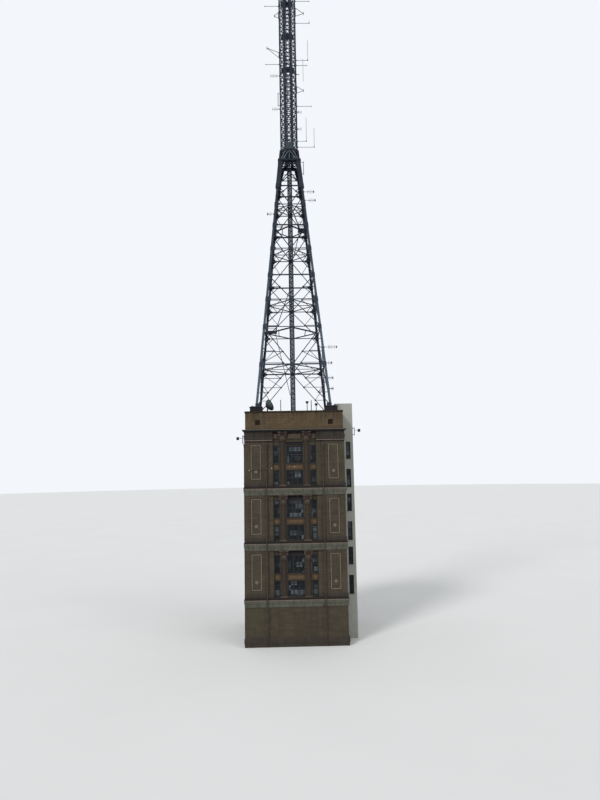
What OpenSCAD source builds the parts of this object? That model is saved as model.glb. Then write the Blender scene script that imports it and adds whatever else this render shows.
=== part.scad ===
// Radio mast on its masonry tower, as a scale model at 1:10.
// One metre of the real structure is 100 mm here.
// Origin: the middle of the tower's foot. +Z up, -Y is the side towards the viewer.

/* [Tower] */
// Width of the square tower outside its corner piers
tower_w = 1075; // [950:5:1150]
// Thickness of the tower's walls at the corner piers
wall_t = 70; // [60:1:80]
// Width of each corner pier
pier_w = 303; // [290:1:310]
// How far the middle of each side stands back from the piers
bay_recess = 25; // [15:1:35]
// Height of the plain base storey
base_h = 400; // [300:5:500]
// Height of one storey, with its two rows of windows
storey_h = 577; // [540:1:640]
// How many storeys stand on the base
storeys = 3; // [1:1:4]
// Thickness of each floor slab
floor_t = 20; // [10:1:30]
// Height from a storey's foot to its upper floor
upper_floor = 281; // [270:1:300]
// Thickness of the roof deck
roof_t = 20; // [12:1:30]
// Width of the set-back strip on the inner side of each pier
strip_w = 58; // [40:1:70]
// How far that strip stands back
strip_back = 8; // [4:1:12]

/* [Mouldings] */
// Height of the ledge at the foot of each storey
ledge_h = 94; // [60:1:100]
// How far the ledges stand out from the piers
ledge_out = 12; // [6:1:20]
// Height of the string course over each ledge, on the piers
string_h = 42; // [30:1:50]
// How far the string courses stand out from the piers
string_out = 7; // [4:1:10]
// Height of the entablature under the parapet
entablature_h = 125; // [100:1:140]
// Height of the cornice on top of the entablature
cornice_h = 24; // [18:1:34]
// How far the cornice stands out from the piers
cornice_out = 24; // [12:1:36]
// Height of the parapet above the entablature
parapet_h = 200; // [140:1:260]
// How far the parapet stands in from the walls below
parapet_in = 8; // [0:1:12]
// Thickness of the parapet walls
parapet_t = 46; // [30:1:60]
// Height of the parapet's coping
coping_h = 10; // [6:1:16]
// How far the coping stands out from the parapet
coping_out = 5; // [3:1:8]
// Width of the square vents in the parapet
vent_w = 55; // [40:1:70]
// Distance of the vents from the middle of the side
vent_x = 395; // [360:5:420]
// Height of the vents above the foot of the parapet
vent_sill = 50; // [30:1:90]
// Diameter of the engaged columns
column_d = 56; // [48:1:66]
// Width of the columns' capitals
capital_w = 106; // [80:1:110]
// Height of the columns' capitals
capital_h = 98; // [70:1:110]
// How far each engaged column stands from the middle of its side
column_x = 129; // [126:1:131]

/* [Windows] */
// Height of the lower windows
low_window_h = 157; // [120:1:170]
// Height of the upper windows
high_window_h = 188; // [120:1:190]
// Height of the lower sills above the foot of their storey
low_sill = 104; // [100:1:120]
// Height of the upper sills above the foot of their storey
high_sill = 336; // [310:1:340]
// Width of the middle windows
mid_window_w = 184; // [140:1:186]
// Width of the narrow side windows
side_window_w = 64; // [40:1:66]
// Thickness of the window frames from front to back
frame_t = 10; // [6:1:14]
// Width of the frame bars
frame_w = 7; // [4:1:9]

/* [Rendered bay] */
// How far the rendered bay stands out from the right side
bay_out = 125; // [80:1:160]
// Width of the rendered bay
bay_w = 540; // [440:5:580]
// Height of the rendered bay above the parapet
bay_rise = 100; // [40:1:120]
// How far the bay's head reaches in over the roof
head_in = 72; // [50:1:90]
// Thickness of the rendered bay's walls
bay_t = 26; // [20:1:34]
// Sill of the bay's lower windows above the foot of their storey
bay_low_sill = 63; // [40:1:80]
// Height of the bay's lower windows
bay_low_h = 204; // [150:1:215]
// Sill of the bay's upper windows above the foot of their storey
bay_high_sill = 378; // [340:1:380]
// Height of the bay's upper windows
bay_high_h = 192; // [120:1:194]
// Width of the windows in the bay's outer wall
bay_window_w = 400; // [300:5:430]
// Width of the windows in the bay's flanks
flank_window_w = 52; // [40:1:60]

/* [Lower mast] */
// How far the mast's feet stand in from the tower's faces
foot_inset = 115; // [110:1:150]
// Width of the blocks under the feet
block_w = 134; // [110:1:136]
// Height of the blocks under the feet
block_h = 237; // [200:1:300]
// How far the blocks are centred inside the feet's corners
block_in = 10; // [8:1:20]
// Heights of the four braced bays, from the feet upwards
bays = [930, 630, 630, 510]; // [300:10:1200]
// Height of the plated top bay, under the ring
top_bay_h = 330; // [250:5:400]
// Height of the neck between the ring and the upper mast
neck_h = 170; // [120:5:220]
// Width of the leg flanges
leg_w = 27; // [22:1:40]
// Thickness of the leg plates
leg_t = 5; // [4:0.5:8]
// Width of the rails at the leg joints
rail_w = 15; // [12:1:24]
// Width of the main braces
brace_w = 9; // [7:1:14]
// Width of the short ties
tie_w = 6; // [4:1:9]
// Thickness of the braces from front to back
brace_t = 6; // [5:1:10]
// Size of the joint plates
plate_w = 30; // [20:1:36]
// Thickness of the cover plates outside the legs in the top bay
cover_t = 8; // [4:1:10]
// Width of the corner plates in the top bay
corner_plate_w = 66; // [40:1:72]

/* [Upper mast] */
// Width of the eight-sided upper mast, flat to flat
upper_w = 213; // [190:1:214]
// Height of the upper mast above the ring
upper_h = 3676; // [2000:1:4400]
// Height of one bay of the upper mast
upper_bay_h = 102; // [90:1:140]
// Width of the upper uprights
upright_w = 16; // [10:1:18]
// Width of the upper braces
upper_brace_w = 5; // [4:1:8]
// Thickness of the upper braces
upper_brace_t = 5; // [4:1:8]
// Width of the decks inside the upper mast
deck_w = 150; // [120:1:160]
// Thickness of the decks
deck_t = 5; // [3:0.5:8]

/* [Middle column] */
// Width of the laced column inside the mast
column_w = 58; // [44:1:70]
// Width of the column's corner posts
post_w = 12; // [8:1:14]
// Height of one bay of lacing
lacing_h = 58; // [46:1:80]

/* [Platforms and aerials] */
// Width of the ladders
ladder_w = 40; // [30:1:46]
// Reach of the lower rest platform into the mast
lower_rest_w = 140; // [110:1:170]
// Reach of the upper rest platform into the mast
upper_rest_w = 100; // [80:1:110]
// Height of the rest platforms' rails
rest_rail_h = 70; // [50:1:110]
// Diameter of the aerial arms
arm_d = 5; // [4:0.5:8]
// Diameter of the whips
whip_d = 4; // [3:0.5:6]
// Length of the comb aerials' booms
boom_l = 110; // [80:1:130]
// Length of the comb aerials' rods
comb_rod_l = 44; // [30:1:60]
// Diameter of the dish on the roof
dish_d = 126; // [90:1:150]

/* [Hidden] */
$fn = 48;
gap = 0.3;
stone = [0.56, 0.46, 0.33];
dark_stone = [0.42, 0.35, 0.27];
render_white = [0.84, 0.83, 0.79];
slate = [0.35, 0.37, 0.39];
steel = [0.33, 0.39, 0.44];
dark_steel = [0.16, 0.18, 0.22];
glass_tint = [0.18, 0.22, 0.25];
frame_white = [0.75, 0.76, 0.74];
block_brown = [0.25, 0.18, 0.14];

// Heights and half widths of the tower
half = tower_w / 2;
band_z = base_h + storeys * storey_h;
frieze_h = entablature_h - cornice_h;
cornice_z = band_z + frieze_h;
parapet_z = band_z + entablature_h;
parapet_top = parapet_z + parapet_h;
roof_z = parapet_z + roof_t;
feet_z = roof_z + block_h;
bay_top = parapet_top + bay_rise;
inner_half = half - wall_t;
bay_half = half - pier_w;

// Sunk panels of the piers
panel_w = 122;
panel_x = bay_half + pier_w * 0.6;
panel_sill = ledge_h + 68;
panel_h = storey_h - panel_sill - 30;
panel_deep = 6;

// Sill and height of each row of bay windows
bay_rows = [
    for (s = [0 : storeys - 1])
        for (row = [[bay_low_sill, bay_low_h], [bay_high_sill, bay_high_h]])
            [base_h + s * storey_h + row[0], row[1]]
];
bay_opening = bay_w - 2 * bay_t;
bay_deep = bay_out - bay_t - 2 * gap;
flank_window_x = half + bay_out - bay_t - 5 - flank_window_w / 2;
floor_levels = concat([0], [
    for (s = [0 : storeys - 1])
        for (rise = [0, upper_floor])
            base_h + s * storey_h + rise
]);
frame_y = -half + bay_recess + frame_t / 2 + 9;
glass_t = 3;

// Levels and widths of the mast, measured from its feet
foot_w = tower_w - 2 * foot_inset;
collar_t = 6;
collar_h = 30;
neck_w = upper_w + collar_t;
taper_h = bays[0] + bays[1] + bays[2] + bays[3] + top_bay_h + neck_h;
slope = (foot_w - neck_w) / 2 / taper_h;
lean = atan(slope);
mid_share = 0.525;
leg_levels = [0, bays[0], bays[0] + bays[1], bays[0] + bays[1] + bays[2], taper_h - neck_h - top_bay_h];
mid_levels = [for (i = [0 : 3]) leg_levels[i] + bays[i] * mid_share];
ring_level = taper_h - neck_h;
ring_t = 20;
function half_at(h) = foot_w / 2 - slope * h;
function up(h) = h / cos(lean);
// How far the inner face of a side's bracing lies from the axis, less a small gap
function side_inside(h) = half_at(h) - (leg_t + gap + brace_t) / cos(lean) - gap;

// Uprights and sides of the upper mast
upright_r = upright_w / 2 / cos(22.5);
upright_circle = (upper_w / 2) / cos(22.5) - upright_r;
upper_foot = feet_z + ring_level + gap + ring_t + gap;
upper_top = upper_foot + upper_h - ring_t;
upper_run = upper_top - upper_foot;
side_normal = upright_circle * cos(22.5);
side_half = upright_circle * sin(22.5) - upright_w / 2 - gap;
arm_y = upright_circle * sin(22.5);
arm_x = side_normal + upright_w / 2;

// Place, sill, width and height of each window in one storey of a plain side
side_window_x = bay_half - side_window_w / 2 - 3;
window_spots = [
    for (sill = [[low_sill, low_window_h], [high_sill, high_window_h]])
        for (x = [-side_window_x, 0, side_window_x])
            [x, sill[0], x == 0 ? mid_window_w : side_window_w, sill[1]]
];

// Height of a storey's set-back middle, which rises to the cornice in the top storey
function middle_rise(s) = storey_h - ledge_h + (s == storeys - 1 ? frieze_h : 0);

// One plain side: a slab set back in its middle, with sunk pier panels and windows cut through.
// Drawn for the front; length runs along X.
module plain_side(length) {
    difference() {
        translate([-length / 2, -half, 0])
            cube([length, wall_t, cornice_z]);
        for (s = [0 : storeys - 1]) {
            z = base_h + s * storey_h;
            translate([-bay_half, -half - 1, z + ledge_h])
                cube([2 * bay_half, bay_recess + 1, middle_rise(s)]);
            translate([-bay_half - strip_w, -half - 1, z + ledge_h])
                cube([2 * (bay_half + strip_w), strip_back + 1, storey_h - ledge_h]);
            for (w = window_spots) {
                translate([w[0] - w[2] / 2, -half - 1, z + w[1]])
                    cube([w[2], wall_t + 2, w[3]]);
            }
            for (side = [-1, 1]) {
                translate([side * panel_x - panel_w / 2, -half - 1, z + panel_sill])
                    cube([panel_w, panel_deep + 1, panel_h]);
            }
        }
    }
}

module front_wall() {
    color(stone) plain_side(tower_w);
}

module back_wall() {
    color(stone) rotate(180) plain_side(tower_w);
}

module left_wall() {
    color(stone) rotate(-90) plain_side(tower_w - 2 * wall_t);
}

// The right side opens into the rendered bay behind every row of bay windows:
// two tall piers, and a band of wall under and over each opening
module right_wall() {
    length = tower_w - 2 * wall_t;
    pier = (length - bay_opening) / 2 - gap;
    feet = concat([0], [for (row = bay_rows) row[0] + row[1]]);
    tops = concat([for (row = bay_rows) row[0]], [cornice_z]);
    color(stone)
        rotate(90) {
            for (side = [0, 1])
                mirror([side, 0, 0])
                    translate([-length / 2, -half, 0])
                        cube([pier, wall_t, cornice_z]);
            for (i = [0 : len(feet) - 1])
                translate([-bay_opening / 2, -half, feet[i]])
                    cube([bay_opening, wall_t, tops[i] - feet[i]]);
        }
}

// A moulding laid round the tower in four mitred lengths, and left out behind the rendered bay.
// The outline gives distance out from the tower's face, and height above z.
module moulded_course(z, outline) {
    reach = half + cornice_out + 1;
    height = outline[len(outline) - 1][1] - outline[0][1];
    difference() {
        for (turn = [0, 90, 180, 270])
            rotate(turn)
                intersection() {
                    translate([-reach, -half, z])
                        rotate([90, 0, 90])
                            linear_extrude(2 * reach)
                                mirror([1, 0])
                                    polygon(outline);
                    linear_extrude(z + height + 1)
                        polygon([[0, -gap], [reach, -reach - gap], [-reach, -reach - gap]]);
                }
        translate([half, -bay_w / 2 - gap, z - 1])
            cube([reach - half + 1, bay_w + 2 * gap, height + 2]);
    }
}

// A moulding on the piers alone, with the middle of every side left out
module pier_moulding(z, outline) {
    reach = half + cornice_out + 1;
    height = outline[len(outline) - 1][1];
    difference() {
        moulded_course(z, outline);
        translate([-bay_half, -reach, z - 1])
            cube([2 * bay_half, 2 * reach, height + 2]);
        translate([-reach, -bay_half, z - 1])
            cube([2 * reach, 2 * bay_half, height + 2]);
    }
}

module ledges() {
    string = string_h - gap;
    outline = [
        [gap, 0], [ledge_out * 0.6, 0], [ledge_out * 0.6, ledge_h * 0.3], [ledge_out, ledge_h * 0.45],
        [ledge_out, ledge_h * 0.85], [ledge_out * 0.5, ledge_h], [gap, ledge_h]
    ];
    color(dark_stone) {
        moulded_course(0, outline);
        for (s = [0 : storeys - 1]) {
            moulded_course(base_h + s * storey_h, outline);
            pier_moulding(base_h + s * storey_h + ledge_h + gap, [
                [gap, 0], [string_out * 0.5, 0], [string_out, string * 0.4], [string_out, string * 0.8],
                [gap, string]
            ]);
        }
    }
}

// The cornice on top of the walls, moulded bands on the piers under it, and a plain band
// on the set-back middle of each side, between the capitals
module entablature() {
    h = cornice_h - gap;
    band = frieze_h - 2 * gap;
    plain_foot = band_z + band * 0.2;
    between = column_x - capital_w / 2 - gap;
    beyond = column_x + capital_w / 2 + gap;
    color(dark_stone) {
        moulded_course(cornice_z + gap, [
            [-wall_t, 0], [cornice_out * 0.35, 0], [cornice_out * 0.45, h * 0.25],
            [cornice_out * 0.8, h * 0.35], [cornice_out, h * 0.6], [cornice_out, h], [-wall_t, h]
        ]);
        pier_moulding(band_z + gap, [
            [gap, 0], [3, 0], [3, band * 0.2], [6, band * 0.24], [6, band * 0.44], [10, band * 0.5],
            [10, band * 0.56], [4, band * 0.6], [4, band], [gap, band]
        ]);
        for (turn = [0, 180, -90])
            rotate(turn)
                for (span = [[-bay_half + gap, -beyond], [-between, between], [beyond, bay_half - gap]])
                    translate([span[0], -half + bay_recess - gap - strip_back, plain_foot])
                        cube([span[1] - span[0], strip_back, band * 0.6]);
    }
}

module parapet() {
    h = parapet_h - gap;
    inner = parapet_in + parapet_t;
    color(stone)
        difference() {
            moulded_course(parapet_z + gap, [
                [-inner, 0], [-parapet_in, 0], [-parapet_in, h - coping_h],
                [coping_out - parapet_in, h - coping_h], [coping_out - parapet_in, h], [-inner, h]
            ]);
            for (x = [-vent_x, vent_x])
                translate([x - vent_w / 2, -half - 1, parapet_z + vent_sill])
                    cube([vent_w, inner + 2, vent_w]);
            translate([half - inner - 1, -bay_w / 2 - gap, parapet_z])
                cube([inner + 2, bay_w + 2 * gap, parapet_h + 1]);
        }
}

module floors() {
    reach = inner_half - gap;
    color(slate)
        for (z = floor_levels) {
            translate([-reach, -reach, z])
                cube([2 * reach, 2 * reach, floor_t]);
            translate([half + gap, -bay_opening / 2 + gap, z])
                cube([bay_deep, bay_opening - 2 * gap, floor_t]);
        }
}

// The roof deck runs out under the head of the rendered bay
module roof_deck() {
    reach = half - parapet_in - parapet_t - gap;
    color(slate)
        translate([0, 0, parapet_z + gap])
            linear_extrude(roof_t - gap) {
                square(2 * reach, center = true);
                translate([0, -bay_w / 2])
                    square([half, bay_w]);
                translate([0, -bay_opening / 2 + gap])
                    square([half + gap + bay_deep, bay_opening - 2 * gap]);
            }
}

// A half-round column with its base and spreading capital, standing against the set-back wall
module engaged_column(h) {
    r = column_d / 2;
    wide = capital_w / 2;
    rotate_extrude(angle = 180)
        polygon([
            [0, 0], [r * 1.25, 0], [r * 1.25, 14], [r * 1.05, 22], [r, 30], [r * 0.88, h - capital_h - 8],
            [r * 1.1, h - capital_h - 6], [r * 1.1, h - capital_h], [r * 0.95, h - capital_h * 0.94],
            [r * 1.1, h - capital_h * 0.6], [wide * 0.86, h - capital_h * 0.2], [wide, h - capital_h * 0.16],
            [wide, h], [0, h]
        ]);
}

module engaged_columns() {
    column_foot = base_h + ledge_h + gap;
    color(stone)
        for (turn = [0, 180, -90])
            rotate(turn)
                for (s = [0 : storeys - 1])
                    for (side = [-1, 1])
                        translate([side * column_x, -half + bay_recess - gap, column_foot + s * storey_h])
                            rotate(180)
                                engaged_column(middle_rise(s) - 2 * gap);
}

// A window frame with two sashes side by side or one above the other
module window_frame(w, h) {
    rotate([90, 0, 0])
        translate([-w / 2 + gap, gap, -frame_t / 2])
            linear_extrude(frame_t)
                difference() {
                    square([w - 2 * gap, h - 2 * gap]);
                    wide = w > h * 0.8 ? 3 : 1;
                    pane_w = (w - 2 * gap - frame_w * (wide + 1)) / wide;
                    pane_h = (h - 2 * gap - frame_w * 3) / 2;
                    for (i = [0 : wide - 1])
                        for (j = [0, 1])
                            translate([frame_w + i * (pane_w + frame_w), frame_w + j * (pane_h + frame_w)])
                                square([pane_w, pane_h]);
                }
}

module frames_of_side() {
    for (s = [0 : storeys - 1])
        for (w = window_spots)
            translate([w[0], frame_y, base_h + s * storey_h + w[1]])
                window_frame(w[2], w[3]);
}

module window_frames_front() {
    color(frame_white) frames_of_side();
}

module window_frames_back() {
    color(frame_white) rotate(180) frames_of_side();
}

module window_frames_left() {
    color(frame_white) rotate(-90) frames_of_side();
}

// A sheet of glass behind each window frame
module pane(w, h) {
    translate([-w / 2 + gap, frame_t / 2 + gap, gap])
        cube([w - 2 * gap, glass_t, h - 2 * gap]);
}

module window_glass() {
    color(glass_tint) {
        for (turn = [0, 180, -90])
            rotate(turn)
                for (s = [0 : storeys - 1])
                    for (w = window_spots)
                        translate([w[0], frame_y, base_h + s * storey_h + w[1]])
                            pane(w[2], w[3]);
        for (row = bay_rows) {
            translate([half + bay_out - bay_t / 2, 0, row[0]])
                rotate(90)
                    pane(bay_window_w, row[1]);
            for (side = [0, 1])
                mirror([0, side, 0])
                    translate([flank_window_x, -bay_w / 2 + bay_t / 2, row[0]])
                        pane(flank_window_w, row[1]);
        }
    }
}

module bay_outer_wall() {
    color(render_white)
        difference() {
            translate([half + bay_out - bay_t, -bay_w / 2, 0])
                cube([bay_t, bay_w, bay_top]);
            for (row = bay_rows)
                translate([half + bay_out - bay_t - 1, -bay_window_w / 2, row[0]])
                    cube([bay_t + 2, bay_window_w, row[1]]);
        }
}

// The flanks step in over the roof above the roof deck
module bay_side_walls() {
    color(render_white)
        for (side = [0, 1])
            mirror([0, side, 0])
                difference() {
                    translate([0, -bay_w / 2 + bay_t, 0])
                        rotate([90, 0, 0])
                            linear_extrude(bay_t) {
                                translate([half + gap, 0])
                                    square([bay_deep, bay_top]);
                                translate([half - head_in, roof_z + gap])
                                    square([head_in + bay_deep, bay_top - roof_z - gap]);
                            }
                    for (row = bay_rows)
                        translate([flank_window_x - flank_window_w / 2, -bay_w / 2 - 1, row[0]])
                            cube([flank_window_w, bay_t + 2, row[1]]);
                }
}

module bay_head_wall() {
    color(render_white)
        translate([half - head_in, -bay_opening / 2 + gap, roof_z + gap])
            cube([bay_t, bay_opening - 2 * gap, bay_top - roof_z - gap]);
}

module bay_roof() {
    from = half - head_in + bay_t + gap;
    color(slate)
        translate([from, -bay_opening / 2 + gap, bay_top - bay_t - roof_t])
            cube([half + gap + bay_deep - from, bay_opening - 2 * gap, roof_t]);
}

module bay_window_frames() {
    color(frame_white)
        for (row = bay_rows) {
            translate([half + bay_out - bay_t / 2, 0, row[0]])
                rotate(90)
                    window_frame(bay_window_w, row[1]);
            for (side = [-1, 1])
                translate([flank_window_x, side * (bay_w / 2 - bay_t / 2), row[0]])
                    window_frame(flank_window_w, row[1]);
        }
}

// Stands a drawing up in the leaning plane of one side. Depth is measured inwards.
module on_side(turn, depth, t) {
    rotate(turn)
        translate([0, -foot_w / 2, feet_z])
            rotate([90 - lean, 0, 0])
                translate([0, 0, -depth - t])
                    linear_extrude(t)
                        children();
}

// A flat bar from point p to point q
module bar(p, q, w) {
    d = q - p;
    translate(p)
        rotate(atan2(d[1], d[0]))
            translate([0, -w / 2])
                square([norm(d), w]);
}

// A tapering strip of one side, from its edge line inwards
module edge_strip(from, to, low, high) {
    polygon([
        [-half_at(low) + from, up(low)], [-half_at(low) + to, up(low)],
        [-half_at(high) + to, up(high)], [-half_at(high) + from, up(high)]
    ]);
}

// A leg: two plates at a right angle, widened at the joints. Drawn for the front left corner.
module leg(turn) {
    color(steel)
        rotate(turn)
            intersection() {
                union() {
                    on_side(0, 0, leg_t)
                        leg_plate(0);
                    on_side(-90, 0, leg_t)
                        mirror([1, 0])
                            leg_plate(leg_t - 1);
                    on_side(0, -cover_t, cover_t + 1)
                        cover_plate(-cover_t);
                    on_side(-90, -cover_t, cover_t + 1)
                        mirror([1, 0])
                            cover_plate(-1);
                }
                translate([-foot_w, -foot_w, feet_z + gap])
                    cube([foot_w, foot_w, ring_level - 2 * gap]);
            }
}

module leg_plate(from) {
    edge_strip(from, leg_w, -foot_start, ring_level + foot_start);
    for (h = concat(leg_levels, mid_levels))
        if (h > 0)
            edge_strip(from, leg_w + plate_w / 2, h - plate_w, h + plate_w);
}
foot_start = 20;

// In the top bay, cover plates thicken the leg on its two outer faces
module cover_plate(from) {
    edge_strip(from, leg_w + plate_w / 2, leg_levels[4] - plate_w, ring_level + foot_start);
}

module leg_front_left() {
    leg(0);
}

module leg_front_right() {
    leg(90);
}

module leg_back_right() {
    leg(180);
}

module leg_back_left() {
    leg(-90);
}

// A brace from mid-side out to the leg, with n joints tied back to the leg
module tied_brace(mid, end, n) {
    apex = [0, up(mid)];
    foot = [half_at(end), up(end)];
    bar(apex, foot, brace_w);
    for (i = [1 : n]) {
        p = apex + (foot - apex) * i / (n + 1);
        level = mid + (end - mid) * i / (n + 1);
        last = mid + (end - mid) * (i - 1) / (n + 1);
        bar(p, [half_at(level), up(level)], tie_w);
        bar(p, [half_at(last), up(last)], tie_w);
        translate(p) rotate(45) square(plate_w * 0.6, center = true);
    }
}

// A tapering plate in the top corner of a side
module corner_plate(inset, low) {
    polygon([
        [-half_at(low) + inset, up(low)], [-half_at(low) + leg_w, up(low)],
        [-half_at(ring_level) + corner_plate_w, up(ring_level)],
        [-half_at(ring_level) + inset, up(ring_level)]
    ]);
}

module side_drawing(inset) {
    high_bar = ring_level - top_bay_h * 0.4;
    low_bar = ring_level - top_bay_h * 0.57;
    intersection() {
        union() {
            for (side = [0, 1])
                mirror([side, 0]) {
                    edge_strip(inset, inset + brace_w, 4, ring_level - 3);
                    corner_plate(inset, leg_levels[4] + top_bay_h * 0.22);
                    bar([0, up(ring_level)], [half_at(low_bar), up(low_bar)], brace_w);
                    for (i = [0 : 3]) {
                        n = i == 0 ? 2 : 1;
                        tied_brace(mid_levels[i], leg_levels[i], n);
                        tied_brace(mid_levels[i], leg_levels[i + 1], n);
                    }
                    tied_brace(low_bar, leg_levels[4], 1);
                }
            for (h = mid_levels)
                bar([-half_at(h), up(h)], [half_at(h), up(h)], h == mid_levels[0] ? rail_w : brace_w);
            for (i = [1 : 4])
                bar([-half_at(leg_levels[i]), up(leg_levels[i])], [half_at(leg_levels[i]), up(leg_levels[i])],
                    i == 1 ? brace_w : rail_w);
            for (h = mid_levels)
                translate([0, up(h)]) square(plate_w * 1.6, center = true);
            for (h = [high_bar, low_bar])
                bar([-half_at(h), up(h)], [half_at(h), up(h)], tie_w);
        }
        polygon([
            [-half_at(4) + inset, up(4)], [half_at(4) - inset, up(4)],
            [half_at(ring_level - 3) - inset, up(ring_level - 3)],
            [-half_at(ring_level - 3) + inset, up(ring_level - 3)]
        ]);
    }
}

module bracing(turn, inset) {
    color(dark_steel)
        on_side(turn, leg_t + gap, brace_t)
            side_drawing(inset);
}

module bracing_front() {
    bracing(0, leg_t + 2 * gap);
}

module bracing_back() {
    bracing(180, leg_t + 2 * gap);
}

module bracing_right() {
    bracing(90, leg_t + brace_t + 3 * gap);
}

module bracing_left() {
    bracing(-90, leg_t + brace_t + 3 * gap);
}

// Level diamonds inside the mast join the middles of its four sides and hold the middle column
module plan_bracing() {
    color(dark_steel)
        for (h = mid_levels)
            translate([0, 0, feet_z + h - brace_t / 2])
                linear_extrude(brace_t) {
                    reach = side_inside(h + brace_t / 2);
                    for (turn = [0, 90, 180, 270])
                        rotate(turn) {
                            bar([reach - brace_w / 2, 0], [0, reach - brace_w / 2], brace_w);
                            bar([column_w / 2 + gap, 0], [reach, 0], brace_w);
                        }
                }
}

// The laced column: four corner posts with a zigzag on every face
module middle_column() {
    top = feet_z + ring_level - 1;
    count = floor((top - roof_z) / lacing_h);
    pitch = (top - roof_z) / count;
    half_c = column_w / 2;
    post_x = half_c - post_w / 2;
    color(dark_steel) {
        for (x = [-1, 1])
            for (y = [-1, 1])
                translate([x * post_x - post_w / 2, y * post_x - post_w / 2, roof_z + gap])
                    cube([post_w, post_w, top - roof_z - gap]);
        for (turn = [0, 90, 180, 270])
            rotate(turn)
                translate([0, -half_c + post_w * 0.75, roof_z])
                    rotate([90, 0, 0])
                        linear_extrude(post_w / 2)
                            intersection() {
                                for (i = [0 : count - 1]) {
                                    flip = i % 2 == 0 ? 1 : -1;
                                    bar([-flip * half_c, i * pitch], [flip * half_c, (i + 1) * pitch], tie_w);
                                }
                                translate([-half_c + 1, gap])
                                    square([column_w - 2, count * pitch - gap]);
                            }
    }
}

// Ladders between the middle column and the two rest platforms, and one inside the upper mast
ladder_y = -ladder_w / 2 - brace_w / 2 - gap;
lower_rest = leg_levels[1];
upper_rest = leg_levels[3];
rail_t = 4;

stile_half = 3;
// How far a leaning ladder's foot is set up so that its stiles' lower edge stands on the deck
function foot_lift(x1, h1, x2, h2) = stile_half * abs(x2 - x1) / norm([x2 - x1, h2 - h1]) + gap;

module ladder(x1, h1, x2, h2) {
    run = sqrt(pow(x2 - x1, 2) + pow(h2 - h1, 2));
    translate([x1, ladder_y, feet_z + h1])
        rotate([0, atan2(x2 - x1, h2 - h1), 0]) {
            for (y = [-ladder_w / 2, ladder_w / 2 - rail_t])
                translate([-stile_half, y, 0])
                    cube([2 * stile_half, rail_t, run]);
            for (z = [15 : 30 : run - 10])
                translate([-1.5, -ladder_w / 2 + 1, z])
                    cube([3, ladder_w - 2, 3]);
        }
}

// The ladder in the upper mast, as one flat drawing behind the near side's left upright
module upper_ladder() {
    w = ladder_w * 0.65;
    translate([-side_half, -side_normal + upper_brace_t / 2 + gap + rail_t, upper_foot + gap])
        rotate([90, 0, 0])
            linear_extrude(rail_t) {
                for (x = [0, w - rail_t])
                    translate([x, 0])
                        square([rail_t, upper_run - 2 * gap]);
                for (z = [12 : 30 : upper_run - 10])
                    translate([1, z])
                        square([w - 2, 3]);
            }
}

module ladders() {
    near = column_w / 2 + stile_half + 2 * gap;
    seat = 1;
    low_x = side_inside(lower_rest + deck_t) - lower_rest_w + ladder_w / 2;
    high_x = side_inside(upper_rest + deck_t) - upper_rest_w + ladder_w / 2;
    low_deck = lower_rest + deck_t;
    low_head = mid_levels[1] + bays[1] * 0.24;
    high_deck = upper_rest + deck_t;
    high_head = mid_levels[3] - bays[3] * 0.04;
    color(steel) {
        ladder(-near, leg_levels[1] * 0.19, -low_x, lower_rest - seat);
        ladder(-low_x, low_deck + foot_lift(-low_x, low_deck, -near, low_head), -near, low_head);
        ladder(near, mid_levels[2] - bays[2] * 0.07, high_x, upper_rest - seat);
        ladder(high_x, high_deck + foot_lift(high_x, high_deck, near, high_head), near, high_head);
        upper_ladder();
    }
}

// A small deck that reaches in from one side of the mast, railed on the sides where no ladder comes up
module rest_platform(h, w, d, rail_h) {
    outer = side_inside(h + deck_t);
    rail_outer = outer - rail_h * slope - 2 * rail_t;
    bar_t = rail_t - 1;
    translate([outer - w, -d / 2, feet_z + h])
        cube([w, d, deck_t]);
    for (x = [outer - w, rail_outer])
        for (y = [-d / 2, d / 2 - rail_t])
            translate([x, y, feet_z + h + deck_t - 1])
                cube([rail_t, rail_t, rail_h]);
    for (z = [rail_h * 0.5, rail_h]) {
        for (y = [-d / 2, d / 2 - bar_t])
            translate([outer - w, y, feet_z + h + z])
                cube([rail_outer - outer + w + 2, bar_t, bar_t]);
        translate([rail_outer, -d / 2 + 1, feet_z + h + z])
            cube([bar_t, d - 2, bar_t]);
    }
}

module rest_platforms() {
    color(dark_steel) {
        mirror([1, 0, 0])
            rest_platform(lower_rest, lower_rest_w, lower_rest_w * 0.79, rest_rail_h);
        rest_platform(upper_rest, upper_rest_w, upper_rest_w * 1.1, rest_rail_h * 1.3);
    }
}

// The sheet that closes one side of the neck behind its struts
module neck_sheet(foot, head) {
    low = up(ring_level + 4);
    high = up(taper_h - collar_h - 2);
    polygon([[-foot, low], [foot, low], [head, high], [-head, high]]);
}

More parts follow.
